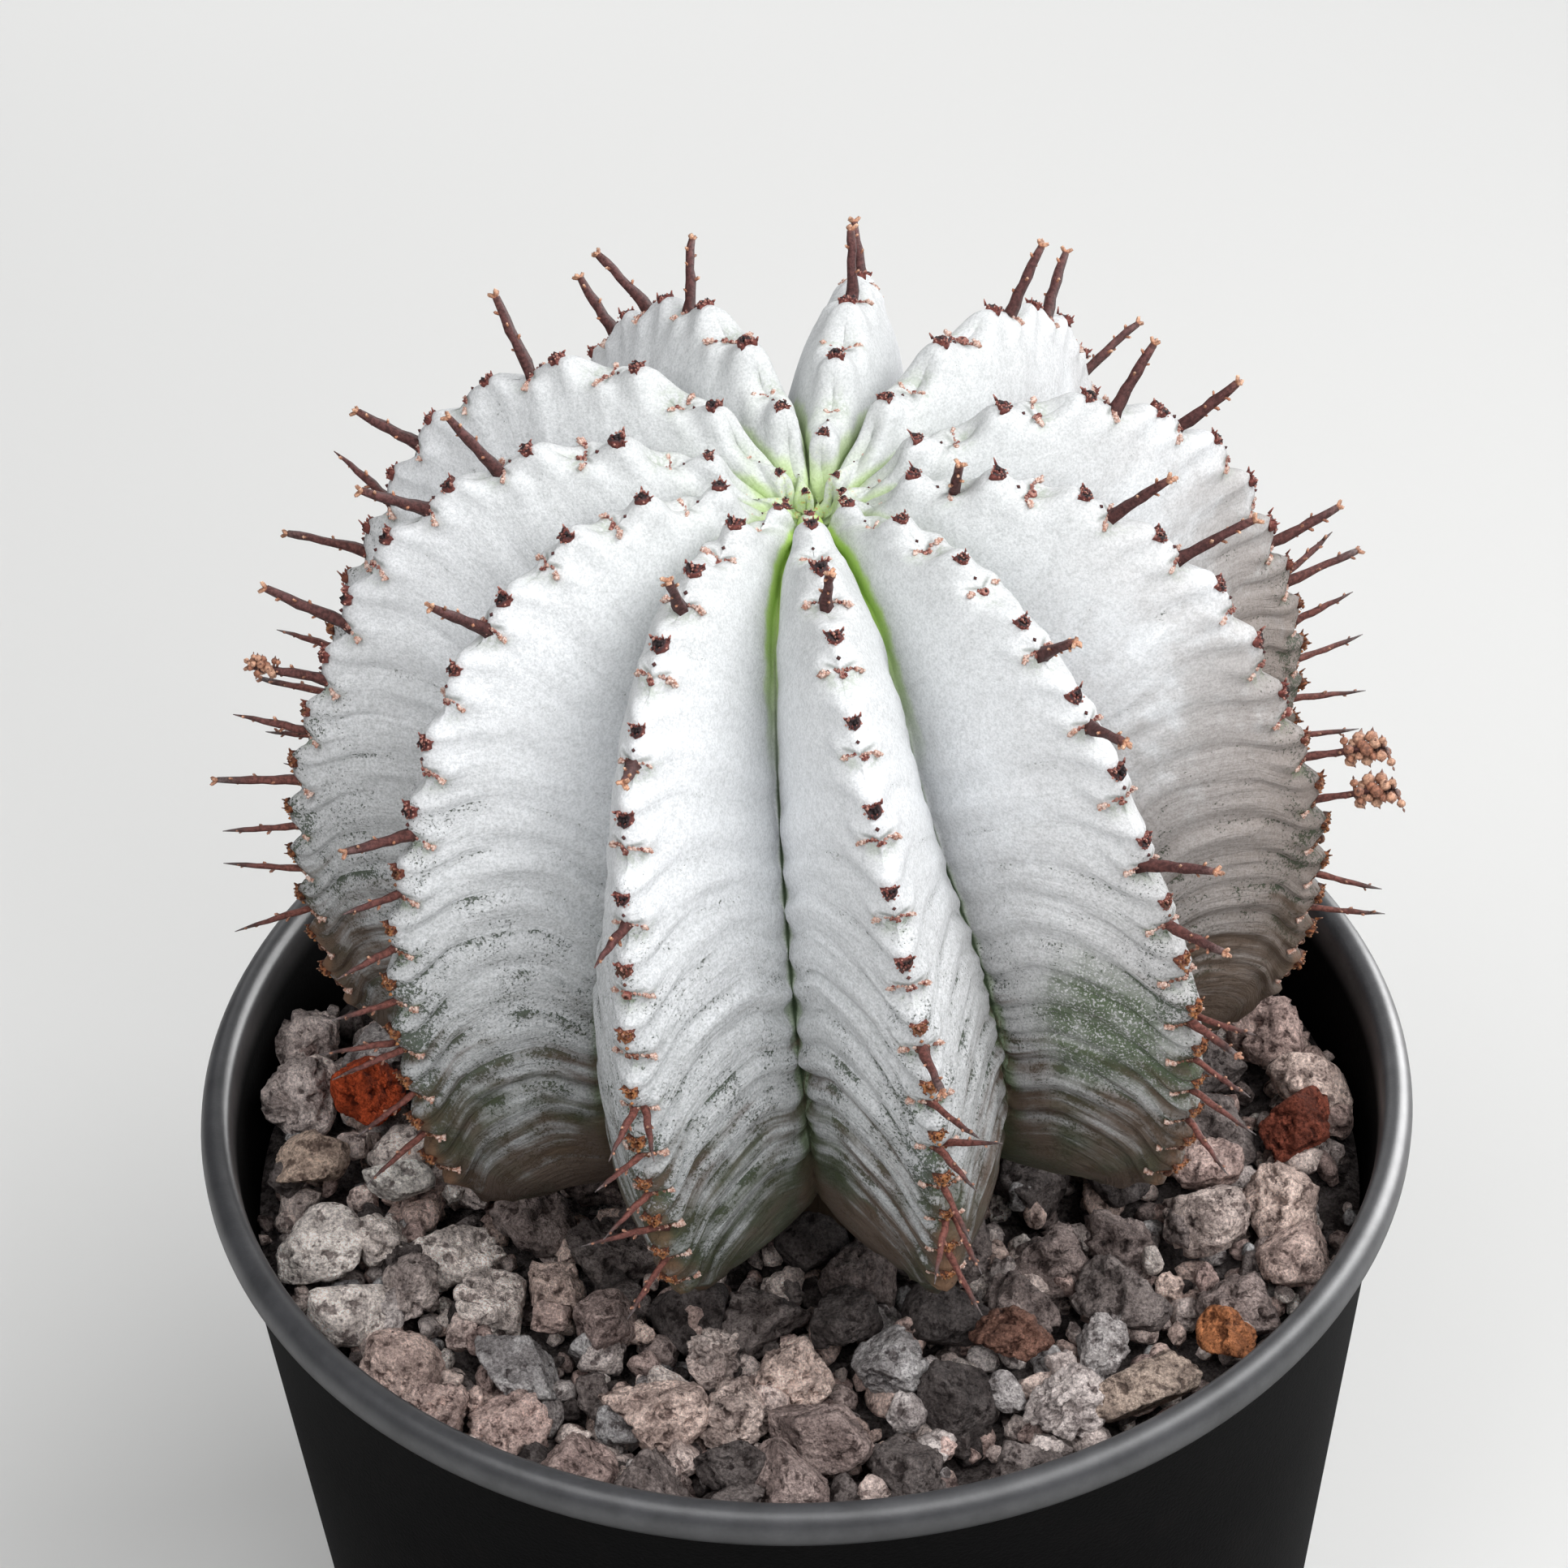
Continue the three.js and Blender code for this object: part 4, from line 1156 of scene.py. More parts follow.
def stalk_spots(crests, index, scar, random, lean):
    """A stalk at one scar, with a second one or a flower head where it has them."""
    rib, lengths = RIBS[index], scar_lengths(RIBS[index])
    at, _ = crests.at(index, scar, BAR_AT)
    length_at = lengths[scar] + BAR_AT * (lengths[scar + 1] - lengths[scar])
    side, lift = 0.7 * lean() - 0.35, 0.3 * lean() - 0.1
    long = 0.88 + 0.2 * lean()
    aim, across = stalk_aim(rib, length_at, *LEANING.get((index, scar), (side, lift)))
    turn = euler_of(turned_to(aim, across))
    age = float(smoothstep(60, 105, length_at))
    blunt = random() > age
    shape = pick(random, BLUNT_STALKS) if blunt else BLUNT_STALKS + pick(random, SHARP_STALKS)
    slim = 1 - 0.3 * age
    spot = {"at": at, "turn": turn, "size": (slim, slim, long), "shape": shape, "age": age}
    spots = [spot]
    if (index, scar) in PAIRED:
        aside, rise = PAIRED[(index, scar)]
        also = euler_of(turned_to(aim + across * aside + np.array([0, 0, 1.0]) * rise, across))
        place = crests.at(index, scar, BAR_AT, math.copysign(1.1, aside))[0]
        shape = BLUNT_STALKS + pick(random, SHARP_STALKS)
        spots.append({**spot, "at": place, "turn": also, "shape": shape})
    if (index, scar) in HEADS:
        # A head uses up this many draws, and the stalks after it keep their lean
        for _ in range(DRAWS_PER_HEAD):
            lean()
        tip = at + aim / np.linalg.norm(aim) * (SPINE_LENGTH * long - 0.5)
        size = (HEADS[(index, scar)],) * 3
        spots.append({"at": tip, "turn": turn, "size": size, "shape": HEAD, "age": 0.5})
    return spots


def stalks(crests, paint):
    """The stalks that stay on the crests, with the heads that some still bear."""
    library = library_of("stalks")
    random = draws(83)
    for number in range(BLUNT_STALKS):
        stalk_shape(library, f"a_blunt_{number}", random, False)
    for number in range(SHARP_STALKS):
        stalk_shape(library, f"b_sharp_{number}", random, True)
    head_shape(library, "c_head", random)
    lean = draws(907)
    spots = []
    for index, rib in enumerate(RIBS):
        for scar in rib.stalks:
            spots += stalk_spots(crests, index, scar, random, lean)
    return placed_piece("flower_stalks", spots, library, paint)


# Stones


def rock_shape(library, name, random, finer):
    """An angular rock: a ball cut by random planes, with its edges a little rounded."""
    bpy.ops.mesh.primitive_ico_sphere_add(subdivisions=finer, radius=1)
    ball = bpy.context.object
    ways = np.array([vertex.co[:] for vertex in ball.data.vertices])
    ways = ways / np.linalg.norm(ways, axis=1, keepdims=True)
    total = np.full(len(ways), math.exp(-ROCK_SHARPNESS * 1.2))
    for _ in range(ROCK_PLANES):
        way = np.array([random() - 0.5, random() - 0.5, random() - 0.5])
        distance = 0.58 + 0.38 * random()
        facing_it = np.maximum(ways @ (way / np.linalg.norm(way)), 0.05)
        total += np.exp(-ROCK_SHARPNESS * np.minimum(distance / facing_it, 3))
    radius = -np.log(total) / ROCK_SHARPNESS
    for vertex, way, reach in zip(ball.data.vertices, ways, radius):
        vertex.co = Vector(way * reach * MM)
    into_library(ball, library)
    ball.name = name


def rock_libraries():
    """The same rocks in four libraries, by how often the ball they start from is divided."""
    libraries = {finer: library_of(f"rocks {finer}") for finer in (2, 3, 4, 5)}
    for number in range(ROCK_SHAPES):
        for finer, library in libraries.items():
            rock_shape(library, f"rock_{finer}_{number:02d}", draws(900 + 37 * number), finer)
    return libraries


def inner_radius(height):
    return MOUTH_RADIUS - WALL_SLOPE * (POT_HEIGHT - height)


def from_plant(x, y):
    return math.hypot(x - PLANT_X, y - PLANT_Y)


def place_in_bed(random, margin):
    """A drawn place on the bed that stays a margin away from the wall."""
    reach = math.sqrt(random()) * (inner_radius(BED_TOP) - margin)
    angle = 2 * math.pi * random()
    return reach * math.cos(angle), reach * math.sin(angle)


def dressing_spots():
    """Where the stones of the dressing lie: the large ones first, then draws that find room."""
    random = draws(DRESSING_SEED)
    taken = [(x, y, size[0]) for (x, y), size, _, _ in STONES.values()]
    spots = [
        {"x": x, "y": y, "r": (s[0] + s[1]) / 2, "size": s, "shade": shade}
        for x, y, s, shade in LARGE_STONES
    ]
    for attempt in range(DRESSING_TRIES):
        radius = STONE_RADII[0] + (STONE_RADII[1] - STONE_RADII[0]) * attempt / DRESSING_TRIES
        x, y = place_in_bed(random, radius * 0.8)
        near = [(s["x"], s["y"], s["r"]) for s in spots] + taken
        clear = all(math.hypot(x - a, y - b) > PACKING * (radius + r) for a, b, r in near)
        if clear and from_plant(x, y) > ROOT_RADIUS + radius:
            stretch = 0.86 + 0.3 * random()
            size = (radius * stretch, radius / stretch, radius * 0.85)
            spots.append({"x": x, "y": y, "r": radius, "size": size})
    for spot in spots:
        spot["turn"] = 3.1 * random()
        spot["z"] = STONE_TOP + 2.2 * random() - 1.4 - spot["size"][2]
    return spots


def inside_pot(at, radius):
    """Moves a stone's place in from the wall where its radius needs it."""
    reach = math.hypot(at[0], at[1])
    limit = inner_radius(at[2]) - CLEARANCE - radius
    share = min(1, limit / reach)
    return (at[0] * share, at[1] * share, at[2])


def rock_spot(at, size, turn, tilt, random):
    lean = ((random() - 0.5) * tilt, (random() - 0.5) * tilt, turn)
    shape = int(random() * ROCK_SHAPES)
    return {"at": at, "size": size, "turn": lean, "shape": shape, "age": random()}


def tone_with_painted_light(x, y, draw):
    """Stones are painted paler to the left and at the back as painted light, darker round the plant's foot
    as its painted shadow, and darker in front, partly browner stones and partly painted shade.
    """
    # Painted light and shade by place, over each stone's drawn tone
    pale = float(smoothstep(-10, -45, x)) * float(smoothstep(-62, -30, y))
    shaded = 1 - float(smoothstep(34, 52, from_plant(x, y)))
    front = float(smoothstep(-44, -56, y)) * float(smoothstep(48, 25, abs(x)))
    dark = 1 - 0.75 * max(shaded, 0.8 * front)
    return (draw * (1 - pale) * 0.75 + (0.45 + 0.55 * draw) * pale) * dark


def dressing_rocks(random):
    """The stones of the dressing as spots, those in front apart from those behind."""
    front, behind = [], []
    for spot in dressing_spots():
        size = [length * (0.9 + 0.1 * random()) for length in spot["size"]]
        at = inside_pot((spot["x"], spot["y"], spot["z"]), max(size))
        placed = rock_spot(at, size, spot["turn"], 1.2, random)
        # Large stones keep their listed tone; the others get a drawn tone with painted light and shade by
        # place
        placed["age"] = spot.get("shade", tone_with_painted_light(spot["x"], spot["y"], placed["age"]))
        near = spot["y"] < FRONT_Y and len(front) < FINE_STONES
        (front if near else behind).append(placed)
    return front, behind


def loose_stones(count, radii, heights, random):
    """Small stones strewn at any place that is clear of the root."""
    spots = []
    while len(spots) < count:
        radius = radii[0] + (radii[1] - radii[0]) * random()
        x, y = place_in_bed(random, radius * 1.5)
        if from_plant(x, y) < ROOT_RADIUS + radius:
            continue
        z = heights[0] + (heights[1] - heights[0]) * random()
        size = (radius * (0.9 + 0.5 * random()), radius, radius * (0.7 + 0.25 * random()))
        spots.append(rock_spot((x, y, z), size, 6.28 * random(), LOOSE_TILT, random))
    return spots


def stone_relief(lump, grain, pore):
    """Sizes for a stone's surface from lengths in millimetres."""
    return {"Lump height": lump * MM, "Grain height": grain * MM, "Pore depth": pore * MM}


def stones(libraries, paint):
    """The dressing: stones in front, stones behind, smaller ones between them and grit below."""
    random = draws(52)
    front, behind = dressing_rocks(random)
    small = loose_stones(SMALL_STONES, SMALL_RADII, SMALL_HEIGHTS, random)
    grit = loose_stones(GRIT_STONES, GRIT_RADII, GRIT_HEIGHTS, random)
    kinds = (
        ("dressing_stones_front", front, FINEST, stone_relief(0.5, 0.4, 1.1)),
        ("dressing_stones", behind, 4, stone_relief(0.5, 0.4, 1.1)),
        ("small_stones", small, 3, stone_relief(0.45, 0.3, 0.6)),
        ("grit", grit, 2, stone_relief(0.3, 0.1, 0.0)),
    )
    return [
        placed_piece(name, spots, libraries[finer], paint, relief)
        for name, spots, finer, relief in kinds
    ]


def coloured_stones(library):
    """The stones of other colours, each with its name."""
    random = draws(29)
    made = []
    for name, ((x, y), size, turn, colour) in STONES.items():
        rise = 1.8 if name == "white_stone" else 0.6
        at = inside_pot((x, y, STONE_TOP + rise - size[2] * 0.8), max(size))
        spot = rock_spot(at, size, turn, 0.2, random)
        smooth = name in SMOOTH_STONES
        relief = stone_relief(0.4, 0.1, 0.05) if smooth else stone_relief(0.5, 0.25, 0.45)
        paint = stone_paint(name, colour)
        made.append((name, placed_piece(name + "_shape", [spot], library, paint, relief)))
    return made


def bed_floor(material):
    """The grit under the stones, as one lumpy layer that hides the fill, in the darkest stone tone as
    painted shade in the gaps between stones.
    """
    rings, around = 40, 120
    random = draws(77)
    top, low = BED_TOP - FLOOR_DROP, MIX_TOP + CLEARANCE
    inner, outer = ROOT_RADIUS + CLEARANCE, inner_radius(top) - CLEARANCE
    points = []
    for ring in range(rings + 1):
        share = ring / rings
        radius = inner + (outer - inner) * share
        for spoke in range(around):
            angle = 2 * math.pi * (spoke + 0.5 * (ring % 2)) / around
            x = PLANT_X * (1 - share) + radius * math.cos(angle)
            y = PLANT_Y * (1 - share) + radius * math.sin(angle)
            lump = 0 if ring in (0, rings) else 1.1 * random()
            points.append((x, y, top + lump))
    for edge in (rings * around, 0):
        points += [(x, y, low) for x, y, _ in points[edge : edge + around]]
    # Over the top, down the outer edge, back below and up the inner edge
    starts = [ring * around for ring in range(rings + 3)] + [0]
    faces = []
    for first, second in zip(starts, starts[1:]):
        faces += turned_over(ring_faces(first, second, around))
    # Painted shade: the layer takes the darkest stone tone, for the gaps between the stones
    made = mesh_object("bed", points, faces, {"age": [0.02] * len(points)}, smooth=False)
    dress(made.data, material)
    return made


# Pot


def pot_profile():
    """Half section of the pot, from the middle of its underside round to the middle of its floor."""

    def outer(height):
        return inner_radius(height) + WALL

    under = POT_HEIGHT - LIP_DEPTH
    floor_top = FOOT_RECESS + FLOOR
    rim = RIM_RADIUS
    return [
        (0.0, FOOT_RECESS), (outer(0) - FOOT_WIDTH - 0.8, FOOT_RECESS),
        (outer(0) - FOOT_WIDTH - 0.3, FOOT_RECESS - 0.4), (outer(0) - FOOT_WIDTH, 0.4),
        (outer(0) - FOOT_WIDTH + 0.4, 0.0), (outer(0) - 0.8, 0.0), (outer(0) - 0.15, 0.35),
        (outer(1.2), 1.2), (outer(30), 30.0), (outer(60), 60.0), (outer(90), 90.0),
        (outer(under - 0.5), under - 0.5), (outer(under) + 0.25, under), (rim - 0.9, under + 0.1),
        (rim - 0.35, under + 0.5), (rim - 0.05, under + 1.3), (rim, under + 2.4),
        (rim - 0.15, POT_HEIGHT - 1.6), (rim - 0.6, POT_HEIGHT - 0.75), (rim - 1.2, POT_HEIGHT - 0.25),
        (rim - 1.9, POT_HEIGHT), (rim - 2.7, POT_HEIGHT - 0.1), (MOUTH_RADIUS + 0.45, POT_HEIGHT - 0.55),
        (MOUTH_RADIUS + 0.1, POT_HEIGHT - 1.2), (MOUTH_RADIUS - 0.1, POT_HEIGHT - 2.4),
        (inner_radius(90), 90.0), (inner_radius(60), 60.0), (inner_radius(30), 30.0),
        (inner_radius(floor_top + 0.8), floor_top + 0.8), (inner_radius(floor_top) - 0.8, floor_top),
        (0.0, floor_top),
    ]


def pot_faces(rings):
    """Faces of the turned shell, whose first and last points are the middles of its two ends."""
    last = 1 + (rings - 1) * POT_STEPS
    faces = []
    for spoke in range(POT_STEPS):
        after = (spoke + 1) % POT_STEPS
        faces.append((0, 1 + after, 1 + spoke))
        for ring in range(rings - 1):
            a, b = 1 + ring * POT_STEPS, 1 + (ring + 1) * POT_STEPS
            faces.append((a + spoke, a + after, b + after, b + spoke))
        faces.append((last + spoke, last + after, last + POT_STEPS))
    return faces


def drill(made, x, y):
    """Cuts one drain hole through the floor of the pot."""
    bpy.ops.mesh.primitive_cylinder_add(
        vertices=32,
        radius=DRAIN_RADIUS * MM,
        depth=12 * MM,
        location=(x * MM, y * MM, FOOT_RECESS * MM),
    )
    cutter = bpy.context.object
    cut = made.modifiers.new("drain", "BOOLEAN")
    cut.operation = "DIFFERENCE"
    cut.object = cutter
    evaluated = made.evaluated_get(bpy.context.evaluated_depsgraph_get())
    mesh = bpy.data.meshes.new_from_object(evaluated)
    made.modifiers.clear()
    made.data = mesh
    bpy.data.objects.remove(cutter)


def pot(material):
    """The turned shell with a ring of drain holes and one in the middle."""
    profile = pot_profile()
    points = [(0, 0, profile[0][1])]
    for radius, height in profile[1:-1]:
        for spoke in range(POT_STEPS):
            angle = 2 * math.pi * spoke / POT_STEPS
            points.append((radius * math.cos(angle), radius * math.sin(angle), height))
    points.append((0, 0, profile[-1][1]))
    made = mesh_object("pot_shell", points, pot_faces(len(profile) - 2))
    for hole in range(DRAINS + 1):
        angle = (hole + 0.5) * 2 * math.pi / DRAINS
        reach = 0 if hole == DRAINS else DRAIN_RING
        drill(made, reach * math.cos(angle), reach * math.sin(angle))
    make_smooth(made.data)
    made.data.set_sharp_from_angle(angle=math.radians(50))
    dress(made.data, material)
    return made


# Finishes


WAX_HIGH = (0.83, 0.845, 0.865)
# Dull wax for the crown: painted shade, since the lamps light the crown most
CROWN_PAINTED_SHADE = (0.66, 0.675, 0.68)
# Grey wax for low down: partly dirtier wax, partly painted shade
WAX_LOW = (0.40, 0.41, 0.415)
# Grey for thin wax, and for the painted shade in the furrows
WAX_GREY = (0.30, 0.315, 0.31)
POWDER_DARK = (0.52, 0.54, 0.545)
SKIN_BRIGHT = (0.44, 0.66, 0.09)
# Pale green-grey for the grooves and hollows about the crown: green skin showing, with painted shade
PALE_SKIN_AND_SHADE = (0.40, 0.52, 0.26)
SKIN_GREEN = (0.12, 0.19, 0.065)
SKIN_DARK = (0.030, 0.050, 0.022)
# Olive and brown of the underside: its own colour, darkened as painted shade under the ribs
OLIVE_SKIN_AND_SHADE = (0.050, 0.060, 0.030)
UNDER_BROWN_AND_SHADE = (0.095, 0.062, 0.042)
NECK_BROWN = (0.13, 0.09, 0.06)
STAIN = (0.155, 0.100, 0.068)
CORK = (0.22, 0.115, 0.065)
HEART_MARK = (0.62, 0.26, 0.14)
WORN_GREEN = (0.100, 0.130, 0.080)
WORN_MIDDLE = (34.5, -42.5, 167.5)  # of the rubbed place on one flank, mm
WORN_SIZE = 9.5
WORN_FOOT = (42.0, -45.5, 158.5)  # of a smaller one nearer the crest, mm
WORN_FOOT_SIZE = 4.5

# Colours by the tone of each part of a scar or a stalk, young near the crown and old lower down, and
# by the shade of a stone
YOUNG_SCAR = [
    (0.0, (0.012, 0.009, 0.010)), (0.35, (0.045, 0.032, 0.034)), (0.55, (0.10, 0.036, 0.034)),
    (0.78, (0.20, 0.060, 0.050)), (1.0, (0.50, 0.26, 0.21)),
]
OLD_SCAR = [
    (0.0, (0.030, 0.010, 0.008)), (0.22, (0.26, 0.09, 0.035)), (0.45, (0.52, 0.24, 0.10)),
    (0.66, (0.30, 0.11, 0.05)), (0.78, (0.045, 0.016, 0.012)), (1.0, (0.40, 0.22, 0.14)),
]
YOUNG_STALK = [
    (0.0, (0.065, 0.024, 0.022)), (0.5, (0.10, 0.040, 0.038)), (0.62, (0.12, 0.052, 0.046)),
    (0.8, (0.36, 0.16, 0.09)), (1.0, (0.72, 0.48, 0.33)),
]
OLD_STALK = [
    (0.0, (0.08, 0.028, 0.020)), (0.15, (0.17, 0.062, 0.048)), (0.40, (0.14, 0.054, 0.045)),
    (0.50, (0.075, 0.042, 0.038)), (0.62, (0.13, 0.12, 0.12)), (0.8, (0.30, 0.14, 0.09)),
    (1.0, (0.46, 0.26, 0.18)),
]
STONE_SHADES = [
    (0.0, (0.09, 0.08, 0.08)), (0.14, (0.24, 0.21, 0.205)), (0.3, (0.62, 0.47, 0.44)),
    (0.5, (0.82, 0.66, 0.60)), (0.62, (0.46, 0.47, 0.49)), (0.8, (0.86, 0.72, 0.68)),
    (1.0, (0.95, 0.91, 0.88)),
]


class WaxPaint(Paint):
    """Chalky wax over green skin, thinner in furrows and grey there with painted shade, rubbed off at the
    crests and low down.
    """

    def __init__(self):
        super().__init__("waxed skin")
        self.where = self.place()
        self.down, self.count = self.attribute("down"), self.attribute("count")
        self.step, self.stain = self.attribute("step"), self.attribute("stain")
        self.rib, self.side = self.attribute("rib"), self.attribute("side")
        self.valley, self.aside = self.attribute("valley"), self.attribute("aside")
        self.since_scar = self.maths("FRACT", self.count + 2)
        self.clouds = self.noise(self.where, 14 * MM, 3.0, 0.55)
        self.patches = self.noise(self.where, 4.5 * MM, 3.0, 0.6)
        self.fine = self.noise(self.where, 0.8 * MM, 3.0, 0.65)
        self.low = self.ramp(52, 125, self.down)
        self.flank = self.ramp(0.1, 0.24, self.step)
        self.ledge = 1 - self.ramp(0.0, 0.32, self.since_scar)
        broken = self.noise(self.striped(0.9, 3.2, 3.7), 1.0, 2.0)
        furrow = self.ledge * self.flank * (1 - 0.6 * self.ramp(0.8, 1.0, self.step))
        self.furrow = furrow * self.ramp(12, 40, self.down) * self.ramp(0.4, 0.58, broken)

    def striped(self, count, step, rib):
        """Where a point lies along and across its flank, for patterns that follow the furrows."""
        return self.vector(self.count * count, self.step * step, self.rib * rib + self.side)

    def wax(self):
        """White wax, duller at the crown as painted shade, greyer low down as dirtier wax with painted
        shade, grey in the furrows with painted shade.
        """
        down, low = self.down, self.low
        # Greyer towards the bottom: partly dirtier wax, partly painted shade low down
        colour = self.mix(low * 0.85 + (self.clouds - 0.5) * 0.5, WAX_HIGH, WAX_LOW)
        # Painted shade: duller wax about the crown, which the lamps light most
        colour = self.mix(1 - self.ramp(24, 62, down), colour, CROWN_PAINTED_SHADE)
        # Pale green-grey in the grooves and between the pads about the crown: green skin showing, with
        # painted shade in these hollows
        gap = 1 - self.ramp(0.6, 3.4, self.valley + (self.patches - 0.5) * 2)
        gap = gap * (1 - self.ramp(12, 36, down))
        behind = self.hump(0.15, 0.42, 0.75, self.since_scar) * (1 - self.ramp(8, 26, down)) * 0.5
        colour = self.mix((gap + behind) * 0.55, colour, PALE_SKIN_AND_SHADE)
        # Grey in the furrows: partly thinner wax, partly painted shade
        colour = self.mix(self.furrow * (0.10 + 0.5 * low), colour, WAX_GREY)
        thin = (1 - self.ramp(0.3, 0.62, self.fine)) * (0.2 + 0.25 * low)
        colour = self.mix(thin, colour, WAX_GREY)
        powder = self.noise(self.where, 0.28 * MM, 2.0, 0.6)
        powder = self.mix(self.ramp(0.35, 0.6, powder), POWDER_DARK, (1, 1, 1))
        return self.tint(0.35 + 0.4 * low, colour, powder)

    def stained(self, colour):
        """Tan stains, on the ribs that have them."""
        tan = self.clouds * 0.6 + self.patches * 0.4 + self.ramp(60, 110, self.down) * 0.3
        tan = self.ramp(0.34, 0.6, tan) * self.stain * self.ramp(25, 92, self.down)
        return self.mix(tan * 0.95, colour, STAIN)

    def specks(self):
        """1 in the specks where the wax is rubbed through."""
        wear = self.low * (0.34 + 0.45 * self.furrow) + (1 - self.flank) * self.low * 0.4
        wear = wear + self.furrow * 0.12
        edge = (1 - self.ramp(0.0, 0.12, self.since_scar)) * (1 - self.ramp(0.3, 0.5, self.step))
        wear = (wear + edge * self.low * 0.4) * self.ramp(0.34, 0.66, self.patches)
        specks = self.noise(self.where, 0.34 * MM, 4.0, 0.75)
        return self.ramp(0.64, 0.69, specks + wear * 0.42) * self.ramp(0.02, 0.1, wear)

    def worn_place(self, middle, size):
        """1 in the middle of a rubbed place on the wax, 0 outside it."""
        towards = self.where - tuple(length * MM for length in middle)
        gap = self.node("ShaderNodeVectorMath", {"operation": "LENGTH"}, {0: towards}, "Value")
        gap = gap + (self.clouds - 0.5) * 1.6 * size * MM
        return 1 - self.ramp(0.5 * size * MM, 1.2 * size * MM, gap)

    def rubbed(self, colour):
        """The rubbed place on one flank: green with white specks left."""
        rub = self.worn_place(WORN_MIDDLE, WORN_SIZE) + self.worn_place(WORN_FOOT, WORN_FOOT_SIZE)
        flecks = self.noise(self.where, 0.3 * MM, 2.0, 0.6)
        rub = rub * (1 - self.ramp(0.54, 0.6, flecks))
        rub = rub * (0.6 + 0.4 * self.ramp(0.35, 0.55, self.patches) + 0.3 * self.ledge)
        return self.mix(rub * 0.95, colour, WORN_GREEN)

    def bare(self, colour):
        """Bare skin under the bars and along the crest, and a dark line of painted shade in the notch above
        each bar.
        """
        down, since_scar, aside = self.down, self.since_scar, self.aside
        bare = self.hump(0.38, 0.5, 0.8, since_scar) * (1 - self.ramp(2.2, 4.4, aside))
        bare = bare * (0.5 + 0.7 * self.ramp(60, 100, down)) * self.ramp(0.38, 0.53, self.patches)
        bare = bare * self.ramp(0.4, 0.55, self.fine)
        colour = self.mix(bare * 0.75 * self.ramp(6, 20, down), colour, SKIN_GREEN)
        # Painted shade: a dark line in the notch above each bar, over the bare skin there
        notch_shade = self.hump(0.30, 0.36, 0.41, since_scar) * (1 - self.ramp(1.4, 2.6, aside))
        return self.mix(notch_shade * 0.55 * self.ramp(12, 25, down), colour, SKIN_DARK)

    def grooves(self, colour):
        """Grooves: bright and open at the crown, and lower down a fine dark line, green skin with painted
        shade in the crease.
        """
        down, valley, patches = self.down, self.valley, self.patches
        front = self.hump(3.5, 5.0, 6.5, self.rib + self.side * 0.4)
        wide = 1 - self.ramp(2.0, 3.4, valley + (patches - 0.5) * 3)
        wide = wide * (1 - self.ramp(30, 56, down)) * self.ramp(1, 7, down) * (0.3 + 0.7 * front)
        colour = self.mix(wide, colour, SKIN_BRIGHT)
        breadth = 0.7 + 2.2 * self.ramp(80, 125, down)
        tight = 1 - self.ramp(0.2, 1.0, valley / breadth + (patches - 0.5) * 1.2)
        colour = self.mix(tight * self.ramp(30, 60, down) * 0.7, colour, SKIN_GREEN)
        # Painted shade: the fine dark line where the flanks meet, over green skin at the bottom of the
        # crease
        line = (1 - self.ramp(0.08, 0.4, valley)) * self.ramp(38, 62, down)
        return self.mix(line * 0.95, colour, SKIN_DARK)

    def heart(self, colour):
        """The middle of the crown: bright green with rusty marks."""
        heart = 1 - self.ramp(2, 12, self.down + self.aside * 1.5)
        green = heart * (0.12 + 0.5 * self.ramp(0.42, 0.62, self.fine))
        colour = self.mix(green, colour, SKIN_BRIGHT)
        return self.mix(heart * self.ramp(0.6, 0.66, self.fine), colour, HEART_MARK)

    def underside(self, colour):
        """The underside in stripes of dark olive and brown, its own colour with painted shade under the
        ribs, the corky edge of each rib low down, and the root neck.
        """
        stripes = self.noise(self.striped(2.4, 1.3, 5.1), 1.0, 3.0, 0.6)
        uneven = self.down + (self.patches - 0.5) * 26 + (stripes - 0.5) * 75
        # Dark olive and brown underneath: partly the skin's own colour, partly painted shade under the
        # overhanging ribs
        brown = self.ramp(0.35, 0.6, self.clouds + self.stain * 0.3)
        shaded = self.mix(brown, OLIVE_SKIN_AND_SHADE, UNDER_BROWN_AND_SHADE)
        colour = self.mix(self.ramp(97, 123, uneven) * 0.93, colour, shaded)
        cork = self.ramp(100, 120, self.down) * (1 - self.ramp(0.03, 0.1, self.step))
        colour = self.mix(cork * self.ramp(0.4, 0.6, self.patches) * 0.6, colour, CORK)
        return self.mix(self.ramp(160, 170, self.down), colour, NECK_BROWN)

    def surface(self, speck):
        """Creases along the flanks, fine pits, and the specks a little sunk."""
        creases = self.noise(self.striped(7, 5, 3.1), 1.0, 3.0, 0.6)
        bump = self.bump(creases * (0.3 + 0.7 * self.low), 0.42 * MM)
        pits = self.noise(self.where, 0.4 * MM, 3.0, 0.7)
        bump = self.bump(pits, 0.09 * MM, bump)
        return self.bump(speck, -0.05 * MM, bump)


def wax_paint():
    paint = WaxPaint()
    speck = paint.specks()
    colour = paint.mix(speck * 0.85, paint.stained(paint.wax()), SKIN_DARK)
    for layer in (paint.rubbed, paint.bare, paint.grooves, paint.heart, paint.underside):
        colour = layer(colour)
    return paint.finish(
        Base_Color=colour,
        Roughness=0.62 + 0.2 * paint.patches,
        Normal=paint.surface(speck),
        Specular_IOR_Level=0.25,
    )


